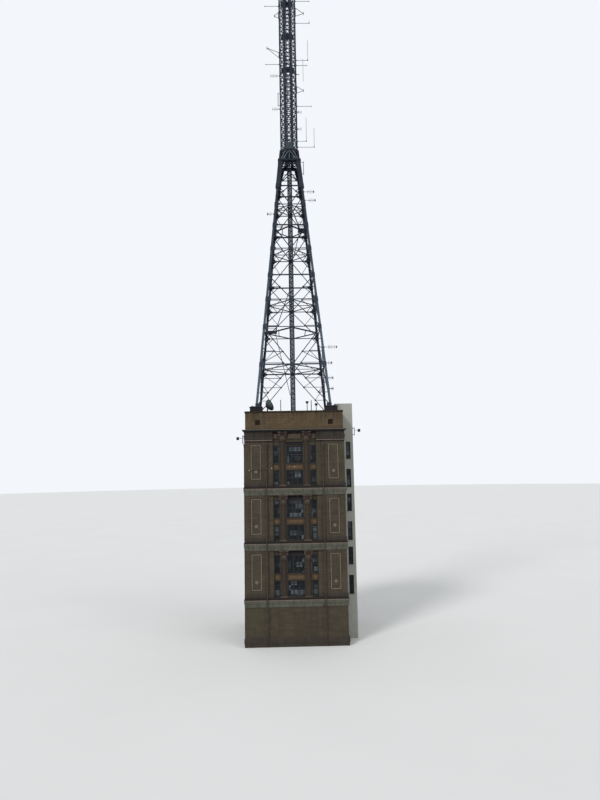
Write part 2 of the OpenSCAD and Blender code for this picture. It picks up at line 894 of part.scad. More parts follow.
// The ring and the neck, where the square mast turns into the eight-sided one
module neck_frame() {
    ring_half = half_at(ring_level);
    spread = upper_w * 0.21;
    plate_h = neck_h * 0.6;
    strut_t = brace_t * 0.6;
    color(dark_steel) {
        translate([0, 0, feet_z + ring_level + gap])
            linear_extrude(ring_t)
                difference() {
                    square(2 * (ring_half + cover_t + ring_t / 4), center = true);
                    circle(r = upper_w / 2 - upright_w - 8);
                }
        for (turn = [0, 90, 180, 270])
            on_side(turn, strut_t * 0.4, strut_t * 0.4)
                neck_sheet(ring_half - 2 * brace_t, neck_w / 2 - 2 * brace_t);
        for (turn = [0, 90, 180, 270])
            on_side(turn, 0, strut_t)
                intersection() {
                    union() {
                        for (x = [-1, -0.5, 0, 0.5, 1])
                            bar([x * ring_half, up(ring_level + 4)], [x * spread, up(taper_h)],
                                brace_w * 0.8);
                        for (side = [0, 1])
                            mirror([side, 0])
                                edge_strip(0, brace_w * 2.4, ring_level, taper_h);
                        translate([-spread, up(taper_h - ring_t * 2)])
                            square([2 * spread, ring_t * 2]);
                    }
                    translate([-ring_half, up(ring_level + 4)])
                        square([2 * ring_half, up(taper_h - 8) - up(ring_level + 4)]);
                }
        translate([0, 0, feet_z + taper_h - collar_h])
            linear_extrude(collar_h)
                difference() {
                    rotate(22.5) circle(r = (upper_w / 2 + gap + collar_t) / cos(22.5), $fn = 8);
                    rotate(22.5) circle(r = (upper_w / 2 + gap) / cos(22.5), $fn = 8);
                }
        for (turn = [0, 180])
            rotate(turn)
                translate([-spread, -upper_w / 2 - gap - collar_t, feet_z + taper_h - 10])
                    cube([2 * spread, collar_t, plate_h]);
    }
}

// Upper mast: eight uprights, eight braced sides
module upper_uprights() {
    color(steel)
        for (i = [0 : 7])
            rotate(22.5 + 45 * i)
                translate([upright_circle, 0, upper_foot])
                    cylinder(r = upright_r, h = upper_run, $fn = 8);
}

module upper_side(turn) {
    count = floor(upper_run / upper_bay_h);
    pitch = upper_run / count;
    reach = side_half + 3;
    rotate(turn)
        translate([0, -side_normal + upper_brace_t / 2, upper_foot])
            rotate([90, 0, 0])
                linear_extrude(upper_brace_t)
                    intersection() {
                        union() {
                            for (i = [0 : count - 1]) {
                                for (way = [-1, 1])
                                    bar([-way * reach, i * pitch], [way * reach, (i + 1) * pitch],
                                        upper_brace_w);
                            }
                            for (i = [0 : count])
                                bar([-side_half, i * pitch], [side_half, i * pitch], upper_brace_w);
                        }
                        translate([-side_half, 0])
                            square([2 * side_half, count * pitch]);
                    }
}

module upper_sides_front_back() {
    color(dark_steel)
        for (turn = [0, 180])
            upper_side(turn);
}

module upper_sides_left_right() {
    color(dark_steel)
        for (turn = [90, -90])
            upper_side(turn);
}

module upper_sides_diagonal_one() {
    color(dark_steel)
        for (turn = [45, 225])
            upper_side(turn);
}

module upper_sides_diagonal_two() {
    color(dark_steel)
        for (turn = [135, 315])
            upper_side(turn);
}

// Level decks inside the upper mast, each on two bearers between the uprights
deck_shares = [0.012, 0.339, 0.462, 0.585, 0.9];
module upper_decks() {
    inside = side_normal - upright_w / 2 - gap;
    bearer_y = arm_y - brace_t / 2;
    color(dark_steel)
        for (share = deck_shares)
            translate([0, 0, upper_foot + share * upper_run])
                linear_extrude(deck_t) {
                    square([deck_w, 2 * bearer_y], center = true);
                    for (y = [-bearer_y, bearer_y])
                        translate([0, y])
                            square([2 * inside, brace_t], center = true);
                }
}

module top_ring() {
    color(dark_steel)
        translate([0, 0, upper_top + gap])
            difference() {
                rotate(22.5) cylinder(r = upper_w / 2 / cos(22.5), h = 10, $fn = 8);
                translate([0, 0, -1]) cylinder(r = 60, h = 12);
            }
}

// The mast's blocks, at the corners of the roof
module mast_blocks() {
    at = foot_w / 2 - block_in;
    color(block_brown)
        for (x = [-1, 1])
            for (y = [-1, 1])
                translate([x * at - block_w / 2, y * at - block_w / 2, roof_z + gap])
                    cube([block_w, block_w, block_h - gap]);
}

// A round rod from p to q, given as distance to the right of the axis and height.
// It lies in the plane of the near uprights, or stands out in front of it.
arm_r = arm_d / 2;
module rod(p, q, r, out = 0) {
    translate([p[0], -arm_y - out, p[1]])
        rotate([0, atan2(q[0] - p[0], q[1] - p[1]), 0])
            cylinder(r = r, h = norm(q - p), $fn = 8);
}

// Level arms on the upper mast: share of its height, reach from the axis, side, height of its whip
arm_list = [
    [0.59, 285, 1, 0], [0.507, 281, 1, 42], [0.369, 254, 1, 270], [0.35, 241, 1, 0], [0.317, 139, 1, 0],
    [0.201, 289, 1, 0], [0.075, 218, 1, 310], [0.054, 313, 1, 252], [0.571, 286, -1, 0],
    [0.354, 278, -1, 0], [0.71, 265, -1, 150], [0.82, 250, 1, 120], [0.87, 262, -1, 0]
];
// Whips hung from the front of two arms: share of height, reach, length, side
hung_list = [[0.373, 190, 300, 1]];
// Pairs of struts that meet at a small aerial: side, reach, shares of the tip and of the two roots
strut_list = [
    [1, 192, 0.258, 0.273, 0.249], [1, 210, 0.544, 0.564, 0.534], [-1, 258, 0.415, 0.398, 0.379],
    [-1, 160, 0.534, 0.548, 0.526], [1, 205, 0.68, 0.696, 0.67]
];
function upper_level(share) = upper_foot + share * upper_run;
module aerial_arms() {
    start = arm_x + gap;
    color(dark_steel) {
        for (a = arm_list)
            rod([a[2] * start, upper_level(a[0])], [a[2] * a[1], upper_level(a[0])], arm_r);
        translate([0, -arm_y + arm_r, 0])
            rotate([90, 0, 0])
                linear_extrude(arm_d)
                    for (a = strut_list)
                        mirror([a[0] == 1 ? 0 : 1, 0]) {
                            tip = [a[1], upper_level(a[2])];
                            foot = upper_level(a[4]) - arm_d;
                            for (share = [a[3], a[4]])
                                bar([start + arm_r, upper_level(share)], tip, arm_d * 0.8);
                            translate([start, foot])
                                square([arm_d, upper_level(a[3]) + arm_d - foot]);
                            translate(tip - [arm_r, comb_rod_l / 2])
                                square([arm_d, comb_rod_l]);
                        }
    }
}

// Whips that stand on the ends of arms, or hang in front of them
module whip_aerials() {
    whip_r = whip_d / 2;
    color(dark_steel) {
        for (a = arm_list)
            if (a[3] > 0) {
                x = a[2] * (a[1] - whip_r);
                rod([x, upper_level(a[0]) + arm_r + gap], [x, upper_level(a[0]) + a[3]], whip_r);
            }
        for (a = hung_list) {
            x = a[3] * a[1];
            rod([x, upper_level(a[0]) - a[2]], [x, upper_level(a[0])], whip_r, arm_r + whip_r + gap);
        }
    }
}

// Comb aerials, each a boom with short rods across it, and upright tubes on brackets.
// Those on the upper mast: share of its height, side, length. Those on the legs: share of the taper.
upper_combs = [[0.312, -1, 115], [0.18, 1, 56], [0.119, 1, 52], [0.191, -1, 95], [0.63, 1, 110]];
lower_combs = [
    [0.818, 1, 125], [0.783, 1, 129], [0.728, -1, 80], [0.213, 1, 148], [0.155, 1, 68], [0.101, 1, 59],
    [0.0625, 1, 44]
];
module comb(x, y, z, side, length) {
    pitch = boom_l * 0.16;
    translate([side * x, y, z]) {
        rotate([0, side * 90, 0])
            cylinder(r = arm_r * 0.8, h = length);
        for (reach = [length * 0.93 : -pitch : length * 0.3])
            translate([side * reach, 0, -comb_rod_l / 2])
                cylinder(r = arm_r * 0.6, h = comb_rod_l);
    }
}

// An upright tube on two level brackets that start at x on the mast's face
module bracketed_tube(x, top_x, y, z, length, side) {
    reach = x + arm_d * 4;
    translate([side * reach, y, z - arm_d * 2])
        cylinder(r = arm_r * 1.4, h = length + arm_d * 4);
    for (spot = [[x, 0], [top_x, length]])
        translate([side * spot[0], y, z + spot[1]])
            rotate([0, side * 90, 0])
                cylinder(r = arm_r, h = reach - spot[0]);
}

module yagi_aerials() {
    leg_tube_h = ring_level - top_bay_h / 2;
    leg_tube_l = top_bay_h * 0.45;
    color(dark_steel) {
        for (a = upper_combs)
            comb(arm_x + gap, -arm_y, upper_level(a[0]), a[1], a[2]);
        for (a = lower_combs) {
            h = a[0] * taper_h;
            comb(half_at(h) + 2 * gap, -half_at(h) + leg_w / 2, feet_z + h, a[1], a[2]);
        }
        bracketed_tube(arm_x + gap, arm_x + gap, -arm_y, upper_level(0.204), upper_run * 0.043, -1);
        bracketed_tube(arm_x + gap, arm_x + gap, -arm_y, upper_level(0.76), upper_run * 0.05, 1);
        bracketed_tube(half_at(leg_tube_h) + cover_t + 2 * gap,
            half_at(leg_tube_h + leg_tube_l) + cover_t + 2 * gap,
            -half_at(ring_level) + leg_w / 2, feet_z + leg_tube_h, leg_tube_l, 1);
    }
}

// A shallow dish on a short pole beside the front left leg
module roof_dish() {
    r = dish_d / 2;
    pole_r = 8;
    pole_h = block_h + 10;
    color([0.22, 0.25, 0.24])
        translate([-foot_w / 2 + block_w, -foot_w / 2 + block_in, roof_z + gap]) {
            cylinder(r = pole_r, h = pole_h);
            translate([0, 0, pole_h])
                rotate([0, 64, 23])
                    rotate_extrude()
                        polygon([
                            [0, -pole_r], [pole_r * 1.6, -pole_r], [r * 0.7, pole_r],
                            [r, r * 0.4], [r, r * 0.62],
                            [r * 0.94, r * 0.62], [r * 0.94, r * 0.42], [r * 0.6, pole_r * 1.5], [0, pole_r]
                        ]);
        }
}

// Small aerials and lamps on posts behind the near parapet: place, height, and whether it has a lamp.
// Two more lamps stand out on brackets, from the bay's near corner and from the tower's near left corner.
lamp_w = 28;
lamp_d = 18;
module wall_lamp(x, y, z, side) {
    tube_x = x + arm_d * 4;
    tube_h = lamp_w * 2.5;
    bracketed_tube(x, x, y, z, tube_h, side);
    translate([side * tube_x, y, z + tube_h * 0.7])
        rotate([0, side * 90, 0])
            cylinder(r = arm_r * 0.8, h = lamp_w * 1.5);
    translate([side * (tube_x + lamp_w * 1.9) - lamp_w / 2, y - lamp_d / 2, z + tube_h * 0.7 - lamp_d])
        cube([lamp_w, lamp_d, lamp_d * 1.6]);
}

module roof_aerials() {
    post_r = 4;
    spots = [[-142, 315, 0], [150, 275, 1], [195, 305, 0], [250, 250, 1]];
    color(dark_steel) {
        for (p = spots)
            translate([p[0], -half + parapet_t * 2.6, roof_z + gap]) {
                cylinder(r = post_r, h = p[1]);
                if (p[2] == 1)
                    translate([-lamp_w / 2, -lamp_d / 2, p[1] - 1])
                        cube([lamp_w, lamp_d, lamp_d]);
            }
        wall_lamp(half + bay_out + gap, -bay_w / 2 + lamp_d, cornice_z - lamp_w, 1);
        wall_lamp(half + gap, -half + lamp_d * 2, band_z - lamp_w * 0.4, -1);
    }
}

front_wall();
back_wall();
left_wall();
right_wall();
ledges();
entablature();
parapet();
floors();
roof_deck();
engaged_columns();
window_frames_front();
window_frames_back();
window_frames_left();
window_glass();
bay_outer_wall();
bay_side_walls();
bay_head_wall();
bay_roof();
bay_window_frames();
mast_blocks();
leg_front_left();
leg_front_right();
leg_back_left();
leg_back_right();
bracing_front();
bracing_right();
bracing_back();
bracing_left();
plan_bracing();
middle_column();
ladders();
rest_platforms();
neck_frame();
upper_uprights();
upper_sides_front_back();
upper_sides_left_right();
upper_sides_diagonal_one();
upper_sides_diagonal_two();
upper_decks();
top_ring();
aerial_arms();
whip_aerials();
yagi_aerials();
roof_dish();
roof_aerials();
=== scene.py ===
"""Dresses the radio mast and its masonry tower: finishes, fittings, stage and camera.

Everything is in metres, at the model's scale of 1:10, in the frame of the part's source.
"""

import math

import bmesh
import bpy
from bpy.props import FloatProperty, FloatVectorProperty, IntProperty, PointerProperty
from mathutils import Matrix, Vector


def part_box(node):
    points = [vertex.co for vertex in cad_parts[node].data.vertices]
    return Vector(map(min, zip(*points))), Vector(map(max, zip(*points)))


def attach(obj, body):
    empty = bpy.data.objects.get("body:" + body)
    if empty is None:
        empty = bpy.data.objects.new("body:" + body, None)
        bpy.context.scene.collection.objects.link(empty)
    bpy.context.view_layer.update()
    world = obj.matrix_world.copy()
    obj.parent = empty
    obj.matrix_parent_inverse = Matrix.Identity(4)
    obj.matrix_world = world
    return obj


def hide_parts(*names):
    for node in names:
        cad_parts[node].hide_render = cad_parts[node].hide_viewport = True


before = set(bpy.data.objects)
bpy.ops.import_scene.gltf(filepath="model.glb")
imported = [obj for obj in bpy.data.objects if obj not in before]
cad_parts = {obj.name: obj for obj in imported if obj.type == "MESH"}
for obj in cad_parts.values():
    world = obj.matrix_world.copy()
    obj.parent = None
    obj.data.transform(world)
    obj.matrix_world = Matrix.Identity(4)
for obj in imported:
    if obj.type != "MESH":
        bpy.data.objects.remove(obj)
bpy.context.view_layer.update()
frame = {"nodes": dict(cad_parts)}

bl_info = {
    "name": "Radio mast and tower",
    "version": (1, 0, 0),
    "blender": (4, 5, 0),
    "location": "3D View > Sidebar > Radio mast",
    "description": "Finishes and fittings of a lattice radio mast on a masonry tower",
    "category": "Object",
}

# Sizes of the tower, as in the part's source
HALF = 0.5375
BAY_HALF = 0.2345
RECESS = 0.025
BASE_H = 0.4
STOREY_H = 0.577
STOREY_FEET = [BASE_H + s * STOREY_H for s in range(3)]
STRIP_BACK = 0.008
LEDGE_H = 0.094
LEDGE_OUT = 0.012
FILLET_Z = 0.071
BAND_Z = 2.131
CORNICE_Z = 2.232
CORNICE_OUT = 0.024
FRIEZE_Z = 2.1812
FRIEZE_BACK = -0.0155
PARAPET_Z = 2.256
PARAPET_TOP = 2.456
PARAPET_T = 0.046
PARAPET_IN = 0.008
ROOF_Z = 2.276
BLOCK_H = 0.237
BLOCK_W = 0.134
BLOCK_AT = 0.4125
VENT_X = 0.395
VENT_W = 0.055
VENT_SILL = 0.05
COLUMN_X = 0.129
CAPITAL_H = 0.098
PANEL_X = 0.4163
PANEL_W = 0.122
PANEL_H = 0.385
PANEL_SILL = 0.162
PANEL_DEEP = 0.006
FRAME_W = 0.007
FRAME_Y = 0.4985
PIPE_X = 0.3055
BAY_OUT = 0.125
BAY_W = 0.54
BAY_T = 0.026
BAY_WINDOW_W = 0.4
FLANK_W = 0.052
FLANK_X = 0.6055
BAY_HEAD_X = 0.4655
PLAIN_SIDES = (0, 180, -90)
ALL_SIDES = (0, 90, 180, -90)
EIGHT_SIDES = range(0, 360, 45)
EIGHT_CORNER = 22.5

# Windows: sill and height of each row in a storey, and middle and width of each upright run
HIGH_SILL, HIGH_H = 0.336, 0.188
WINDOW_ROWS = ((0.104, 0.157), (HIGH_SILL, HIGH_H))
WINDOW_RUNS = ((-0.1995, 0.064), (0.0, 0.184), (0.1995, 0.064))
WINDOWS = [(x, sill, width, height) for sill, height in WINDOW_ROWS for x, width in WINDOW_RUNS]
BAY_ROWS = ((0.063, 0.204), (0.378, 0.192))

# Sizes of the mast
FEET_Z = 2.513
FOOT_HALF = 0.4225
TAPER_H = 3.2
SLOPE = 0.313 / TAPER_H
LEAN = math.atan(SLOPE)
RING_LEVEL = 3.03
RING_T = 0.02
TOP_BAY_H = 0.33
LEG_LEVELS = [0.0, 0.93, 1.56, 2.19, 2.7]
MID_LEVELS = [0.48825, 1.26075, 1.89075, 2.45775]
LOW_BAR = RING_LEVEL - TOP_BAY_H * 0.57
HIGH_BAR = RING_LEVEL - TOP_BAY_H * 0.4
LEG_W = 0.027
LEG_T = 0.005
COVER_T = 0.008
COVER_LEVEL = LEG_LEVELS[4] - 0.03
BRACE_W = 0.009
BRACE_T = 0.006
BRACE_DEPTH = 0.0053
RAIL_W = 0.015
REST_BAR_W = 0.014
TIE_W = 0.006
BARS_IN = 0.0119
COLUMN_W = 0.058
UPPER_W = 0.213
UPPER_FOOT = 5.5636
UPPER_RUN = 3.656
UPRIGHT_W = 0.016
SIDE_NORMAL = 0.0985
SIDE_HALF = 0.0325
SIDE_FACE = 0.0036
ARM_X = 0.1065
ARM_Y = 0.0408
UPPER_BAYS = 35
DECK_SHARES = [0.012, 0.339, 0.462, 0.585, 0.9]
DECK_W = 0.15
DECK_T = 0.005
NECK_SPREAD = UPPER_W * 0.21
RING_OUT = 0.1392
COLLAR_H = 0.03
CORNER_W = 0.0216
LADDER_Y = -0.0937
ARM_R = 0.0025
WHIP_R = 0.002

# Rest platforms: level, width, depth, side and the height of their rails
RESTS = ((LEG_LEVELS[1], 0.14, 0.1106, -1, 0.07), (LEG_LEVELS[3], 0.1, 0.11, 1, 0.091))
# Level arms on the upper mast: share of its height, reach from the axis, side, whip's height
ARMS = [
    (0.59, 0.285, 1, 0), (0.507, 0.281, 1, 0.042), (0.369, 0.254, 1, 0.27), (0.35, 0.241, 1, 0),
    (0.317, 0.139, 1, 0), (0.201, 0.289, 1, 0), (0.075, 0.218, 1, 0.31), (0.054, 0.313, 1, 0.252),
    (0.571, 0.286, -1, 0), (0.354, 0.278, -1, 0), (0.71, 0.265, -1, 0.15), (0.82, 0.25, 1, 0.12),
    (0.87, 0.262, -1, 0),
]
# Strut pairs that meet at a small aerial: side, reach, share of the tip
STRUT_TIPS = [
    (1, 0.192, 0.258), (1, 0.21, 0.544), (-1, 0.258, 0.415), (-1, 0.16, 0.534), (1, 0.205, 0.68),
]
# Comb aerials: share of the upper mast's height, or of the taper's, then side and length
UPPER_COMBS = [
    (0.312, -1, 0.115), (0.18, 1, 0.056), (0.119, 1, 0.052), (0.191, -1, 0.095), (0.63, 1, 0.11),
]
LOWER_COMBS = [
    (0.818, 1, 0.125), (0.783, 1, 0.129), (0.728, -1, 0.08), (0.213, 1, 0.148), (0.155, 1, 0.068),
    (0.101, 1, 0.059), (0.0625, 1, 0.044),
]
# Posts on the roof: x, height, and whether it carries a lamp
ROOF_POSTS = [(-0.142, 0.315, False), (0.15, 0.275, True), (0.195, 0.305, False),
              (0.25, 0.25, True)]
# Small lamps on the front: x, height, and how far their wall stands out
WALL_LAMPS = [(-0.488, 1.82, 0.0), (-0.248, 1.84, -STRIP_BACK), (0.0, 1.852, 0.003 - RECESS)]

# The camera: where it stands, its lens in millimetres, and its turns in degrees
CAMERA_AT = (-0.08, -7.01, 1.817)
CAMERA_LENS = 27.0
CAMERA_PAN, CAMERA_TILT, CAMERA_ROLL = -1.32, 6.654, -1.0


def painted(red, green, blue):
    """A colour given from 0 to 255 as a screen shows it, as Blender's own values."""
    return tuple(((part / 255 + 0.055) / 1.055) ** 2.4 for part in (red, green, blue))


def opaque(red, green, blue):
    """The same with full opacity, for a shader's colour socket."""
    return (*painted(red, green, blue), 1.0)


def shade(colour, factor):
    """A colour made lighter or darker, for a shader's colour socket."""
    return tuple(min(1.0, part * factor) for part in colour[:3]) + (1.0,)


def colour_choice(name, description, red, green, blue):
    """A colour that can be changed in the panel."""
    return FloatVectorProperty(
        name=name, description=description, subtype="COLOR", size=3, min=0, max=1,
        default=painted(red, green, blue),
    )


class TowerFinish(bpy.types.PropertyGroup):
    """Colours of the tower, and the height of its courses."""

    stone: colour_choice("Stone", "Weathered stone of the walls", 69, 62, 51)
    moulding: colour_choice("Mouldings", "Darker stone of the ledges and cornice", 60, 54, 48)
    spandrel: colour_choice("Panels", "Ochre panels between the windows", 90, 73, 54)
    parapet: colour_choice("Parapet", "Warmer stone of the parapet", 88, 73, 55)
    columns: colour_choice("Columns", "Reddish stone of the columns", 58, 49, 43)
    plaster: colour_choice("Rendered bay", "Painted render of the bay", 164, 164, 156)
    block: colour_choice("Mast blocks", "Dark blocks under the mast", 44, 39, 40)
    frame: colour_choice("Window frames", "Paint of the window frames", 40, 45, 51)
    course_h: FloatProperty(
        name="Stone course", description="Height of one course of stone", unit="LENGTH",
        min=0.01, max=0.08, default=0.029,
    )


class MastFinish(bpy.types.PropertyGroup):
    """Colours of the steelwork, the spacing of its bolts, and the number of its cables."""

    legs: colour_choice("Legs", "Blue-grey paint of the legs", 78, 92, 104)
    bracing: colour_choice("Bracing", "Dark paint of the bracing", 44, 54, 68)
    upper: colour_choice("Upper mast", "Dark paint of the upper mast", 30, 38, 54)
    fittings: colour_choice("Aerials", "Weathered metal of the aerials", 24, 29, 38)
    rust: FloatProperty(
        name="Rust", description="How much rust shows through the paint", subtype="FACTOR",
        min=0, max=1, default=0.35,
    )
    bolt_gap: FloatProperty(
        name="Bolt spacing", description="Distance between the bolts along a leg", unit="LENGTH",
        min=0.015, max=0.08, default=0.034,
    )
    cables: IntProperty(
        name="Feeder cables", description="Cables in the middle column", min=1, max=8, default=8,
    )


# Finishes

FINISHES = {}


def add(tree, kind, inputs=(), **settings):
    """One shader node, with its settings, and its sockets set or linked."""
    node = tree.nodes.new(kind)
    for name, value in settings.items():
        setattr(node, name, value)
    for key, value in dict(inputs).items():
        if isinstance(value, bpy.types.NodeSocket):
            tree.links.new(value, node.inputs[key])
        else:
            node.inputs[key].default_value = value
    return node


class Coat:
    """A finish being put together, with its patterns on the object's own coordinates."""

    def __init__(self, name):
        self.name = name
        self.material = bpy.data.materials.new(name)
        self.material.use_nodes = True
        self.material.node_tree.nodes.clear()
        self.place = self.add("ShaderNodeTexCoord").outputs["Object"]

    def add(self, kind, inputs=(), **settings):
        return add(self.material.node_tree, kind, inputs, **settings)

    def cloud(self, scale, detail=4.0, roughness=0.6, drawn=None):
        """Soft noise of a given fineness, drawn out by three scales where they are given."""
        place = self.place
        if drawn is not None:
            place = self.add("ShaderNodeMapping", {"Vector": place, "Scale": drawn}).outputs[0]
        return self.add("ShaderNodeTexNoise", {
            "Vector": place, "Scale": scale, "Detail": detail, "Roughness": roughness,
        }).outputs["Fac"]

    def runs(self, fineness=1.0):
        """Dirt that has run down a wall: noise drawn out from top to bottom."""
        return self.cloud(1.0, 5.0, 0.65, (34 * fineness, 34 * fineness, 2.4))

    def rise(self):
        """Height above the ground."""
        return self.add("ShaderNodeSeparateXYZ", {0: self.place}).outputs[2]

    def on_wall(self):
        """Coordinates drawn flat on the tower's walls: along them, and upwards."""
        parts = self.add("ShaderNodeSeparateXYZ", {0: self.place}).outputs
        along = self.add("ShaderNodeMath", {0: parts[0], 1: parts[1]}, operation="ADD").outputs[0]
        return self.add("ShaderNodeCombineXYZ", {0: along, 1: parts[2]}).outputs[0]

    def ranged(self, value, low, high, least=0.0, most=1.0, clamp=True):
        """A value read from low to high, as nothing to all or as the range that is given."""
        return self.add("ShaderNodeMapRange", {
            "Value": value, "From Min": low, "From Max": high, "To Min": least, "To Max": most,
        }, clamp=clamp).outputs["Result"]

    def times(self, one, other):
        """The product of two values."""
        return self.add("ShaderNodeMath", {0: one, 1: other}, operation="MULTIPLY").outputs[0]

    def between(self, value, low, full, fading, high):
        """Where a value lies in a band with soft edges."""
        return self.times(self.ranged(value, low, full), self.ranged(value, high, fading))

    def blended(self, amount, under, over):
        """One colour laid over another by an amount."""
        sockets = {0: amount, 6: under, 7: over}
        return self.add("ShaderNodeMix", sockets, data_type="RGBA").outputs[2]

    def laid(self, under, over, value, low, high, amount=1.0):
        """One colour laid over another where a pattern is strong, by an amount at most."""
        share = self.ranged(value, low, high)
        return self.blended(share if amount == 1.0 else self.times(share, amount), under, over)

    def sooted(self, colour, top):
        """Painted shadow in a band just under an edge, and painted shade that fades downwards from
        the edge in streaks.
        """
        # The dark colour of the painted shadow and of the painted shade below it.
        painted_shadow = opaque(32, 29, 28)
        runs = self.ranged(self.runs(1.2), 0.4, 0.62)
        # Painted shade: darkest at the edge, fading downwards, broken into streaks.
        shade_runs = self.times(self.times(self.ranged(self.rise(), top - 0.15, top), runs), 0.75)
        return self.laid(
            self.blended(shade_runs, colour, painted_shadow), painted_shadow, self.rise(), top - 0.022, top - 0.002, 0.7,
        )

    def relief(self, height, strength, distance, **under):
        """Surface relief from a height pattern, over another relief where one is given."""
        inputs = {"Height": height, "Strength": strength, "Distance": distance, **under}
        return self.add("ShaderNodeBump", inputs).outputs["Normal"]

    def close(self, colour, roughness, normal, **more):
        """Joins colour, roughness and relief into the surface, and keeps the finish by its name."""
        shader = self.add("ShaderNodeBsdfPrincipled", {
            "Base Color": colour, "Roughness": roughness, "Normal": normal,
            "Specular IOR Level": 0.2, **more,
        })
        self.add("ShaderNodeOutputMaterial", {"Surface": shader.outputs["BSDF"]})
        FINISHES[self.name] = self.material


def masonry(name, colour, course_h, grime, top, moulding=None):
    """Coursed stone with pale joints, stones that differ a little, damp patches and streaks.

    Painted shade lies under the top edge, and where a moulding's height is given, a thin line of
    painted shadow lies under it.
    """
    coat = Coat(name)
    courses = coat.add("ShaderNodeTexBrick", {
        "Vector": coat.on_wall(), "Color1": shade(colour, 1.12), "Color2": shade(colour, 0.82),
        "Mortar": shade(colour, 0.62), "Scale": 1.0, "Mortar Size": 0.0011, "Mortar Smooth": 0.4,
        "Bias": -0.1, "Brick Width": course_h * 2.3, "Row Height": course_h,
    }).outputs
    grain = coat.cloud(260.0, 6.0, 0.7)
    look = coat.laid(courses["Color"], shade(colour, 0.6), coat.cloud(5.5), 0.42, 0.72, 0.55)
    look = coat.laid(look, shade(colour, 0.42), coat.runs(), 0.5, 0.78, grime)
    look = coat.laid(look, opaque(70, 72, 52), coat.cloud(3.1, 5.0), 0.5, 0.75, 0.4)
    look = coat.laid(look, shade(colour, 1.35), grain, 0.35, 0.75, 0.28)
    # Painted shade under the top edge.
    look = coat.sooted(look, top)
    # A thin line of painted shadow under the moulding at that height.
    if moulding is not None:
        line = coat.between(
            coat.rise(), moulding - 0.016, moulding - 0.008, moulding, moulding + 0.003,
        )
        look = coat.blended(coat.times(line, 0.72), look, opaque(22, 20, 20))
    joints = coat.add("ShaderNodeMath", {0: 1.0, 1: courses["Fac"]}, operation="SUBTRACT")
    sunk = coat.relief(joints.outputs[0], 0.6, 0.0012)
    coat.close(look, 0.92, coat.relief(grain, 0.35, 0.0015, Normal=sunk))


def dressed_stone(name, colour, grime, top=None):
    """Smooth worked stone, darkened by weather where water runs, and by painted shade under its top
    edge where one is given.
    """
    coat = Coat(name)
    grain = coat.cloud(180.0, 6.0, 0.7)
    look = coat.laid(shade(colour, 1.1), shade(colour, 0.74), coat.cloud(14.0), 0.3, 0.75)
    look = coat.laid(look, shade(colour, 0.4), coat.runs(1.5), 0.48, 0.75, grime)
    look = coat.laid(look, shade(colour, 1.35), grain, 0.4, 0.8, 0.25)
    # Painted shade under the top edge, where one is given.
    if top is not None:
        look = coat.sooted(look, top)
    coat.close(look, 0.9, coat.relief(grain, 0.4, 0.0012))


def ledge_stone(name, colour, low_colour):
    """Dressed stone of the ledges: paler and green with damp below the fillet, with a band of
    painted shadow just over it.
    """
    coat = Coat(name)

    def over_fillet(rise):
        return (FILLET_Z + rise) / STOREY_H

    storey = coat.ranged(coat.rise(), BASE_H, BASE_H + STOREY_H, clamp=False)
    share = coat.add("ShaderNodeMath", {0: storey}, operation="FRACT").outputs[0]
    mottle = coat.ranged(coat.cloud(14.0), 0.3, 0.75)
    upper = coat.blended(mottle, shade(colour, 1.1), shade(colour, 0.74))
    lower = coat.blended(mottle, shade(low_colour, 1.15), shade(low_colour, 0.7))
    look = coat.laid(lower, upper, share, over_fillet(0.0), over_fillet(0.002))
    look = coat.laid(look, shade(colour, 0.4), coat.runs(1.5), 0.48, 0.75, 0.7)
    # A band of painted shadow just over the fillet.
    painted_shadow = coat.between(share, *(over_fillet(rise) for rise in (0.003, 0.005, 0.016, 0.03)))
    look = coat.blended(coat.times(painted_shadow, 0.8), look, opaque(20, 18, 19))
    coat.close(look, 0.9, coat.relief(coat.cloud(180.0, 6.0, 0.7), 0.4, 0.0012))


def render_coat(name, colour):
    """Painted render: off-white, slightly uneven, with faint grey runs."""
    coat = Coat(name)
    look = coat.laid(shade(colour, 1.0), shade(colour, 0.88), coat.cloud(7.0), 0.35, 0.8)
    look = coat.laid(look, shade(colour, 0.55), coat.runs(0.8), 0.52, 0.8, 0.35)
    coat.close(look, 0.85, coat.relief(coat.cloud(320.0, 5.0, 0.6), 0.3, 0.0008))


def steel_paint(name, colour, rust, pale=1.2, aloft=None):
    """Weathered paint on steel: chalky patches, rust blooming through, dirt drawn downwards.

    Where a colour is given for aloft, the paint turns to it towards the ring.
    """
    coat = Coat(name)
    chalk = coat.ranged(coat.cloud(22.0, 5.0, 0.65), 0.35, 0.75)
    fine = coat.cloud(240.0, 5.0, 0.7)
    look = coat.blended(chalk, shade(colour, 0.82), shade(colour, pale))
    if aloft is not None:
        high = coat.blended(chalk, shade(aloft, 0.82), shade(aloft, pale))
        look = coat.laid(look, high, coat.rise(), FEET_Z + 0.3, FEET_Z + RING_LEVEL)
    look = coat.laid(look, shade(colour, 0.45), coat.runs(2.4), 0.5, 0.8, 0.45)
    look = coat.laid(look, opaque(112, 66, 42), coat.cloud(48.0, 8.0, 0.75), 0.56, 0.68, rust)
    rough = coat.ranged(fine, 0.3, 0.7, 0.42, 0.66)
    coat.close(look, rough, coat.relief(fine, 0.2, 0.0006))


def roofing_felt(name):
    """Grey roofing felt with laid mineral grit and ponded dirt."""
    coat = Coat(name)
    grit = coat.cloud(420.0, 3.0, 0.6)
    look = coat.laid(opaque(92, 94, 96), opaque(66, 66, 64), coat.cloud(6.0), 0.35, 0.7)
    look = coat.laid(look, opaque(138, 138, 134), grit, 0.5, 0.8, 0.6)
    coat.close(look, 0.95, coat.relief(grit, 0.5, 0.001))


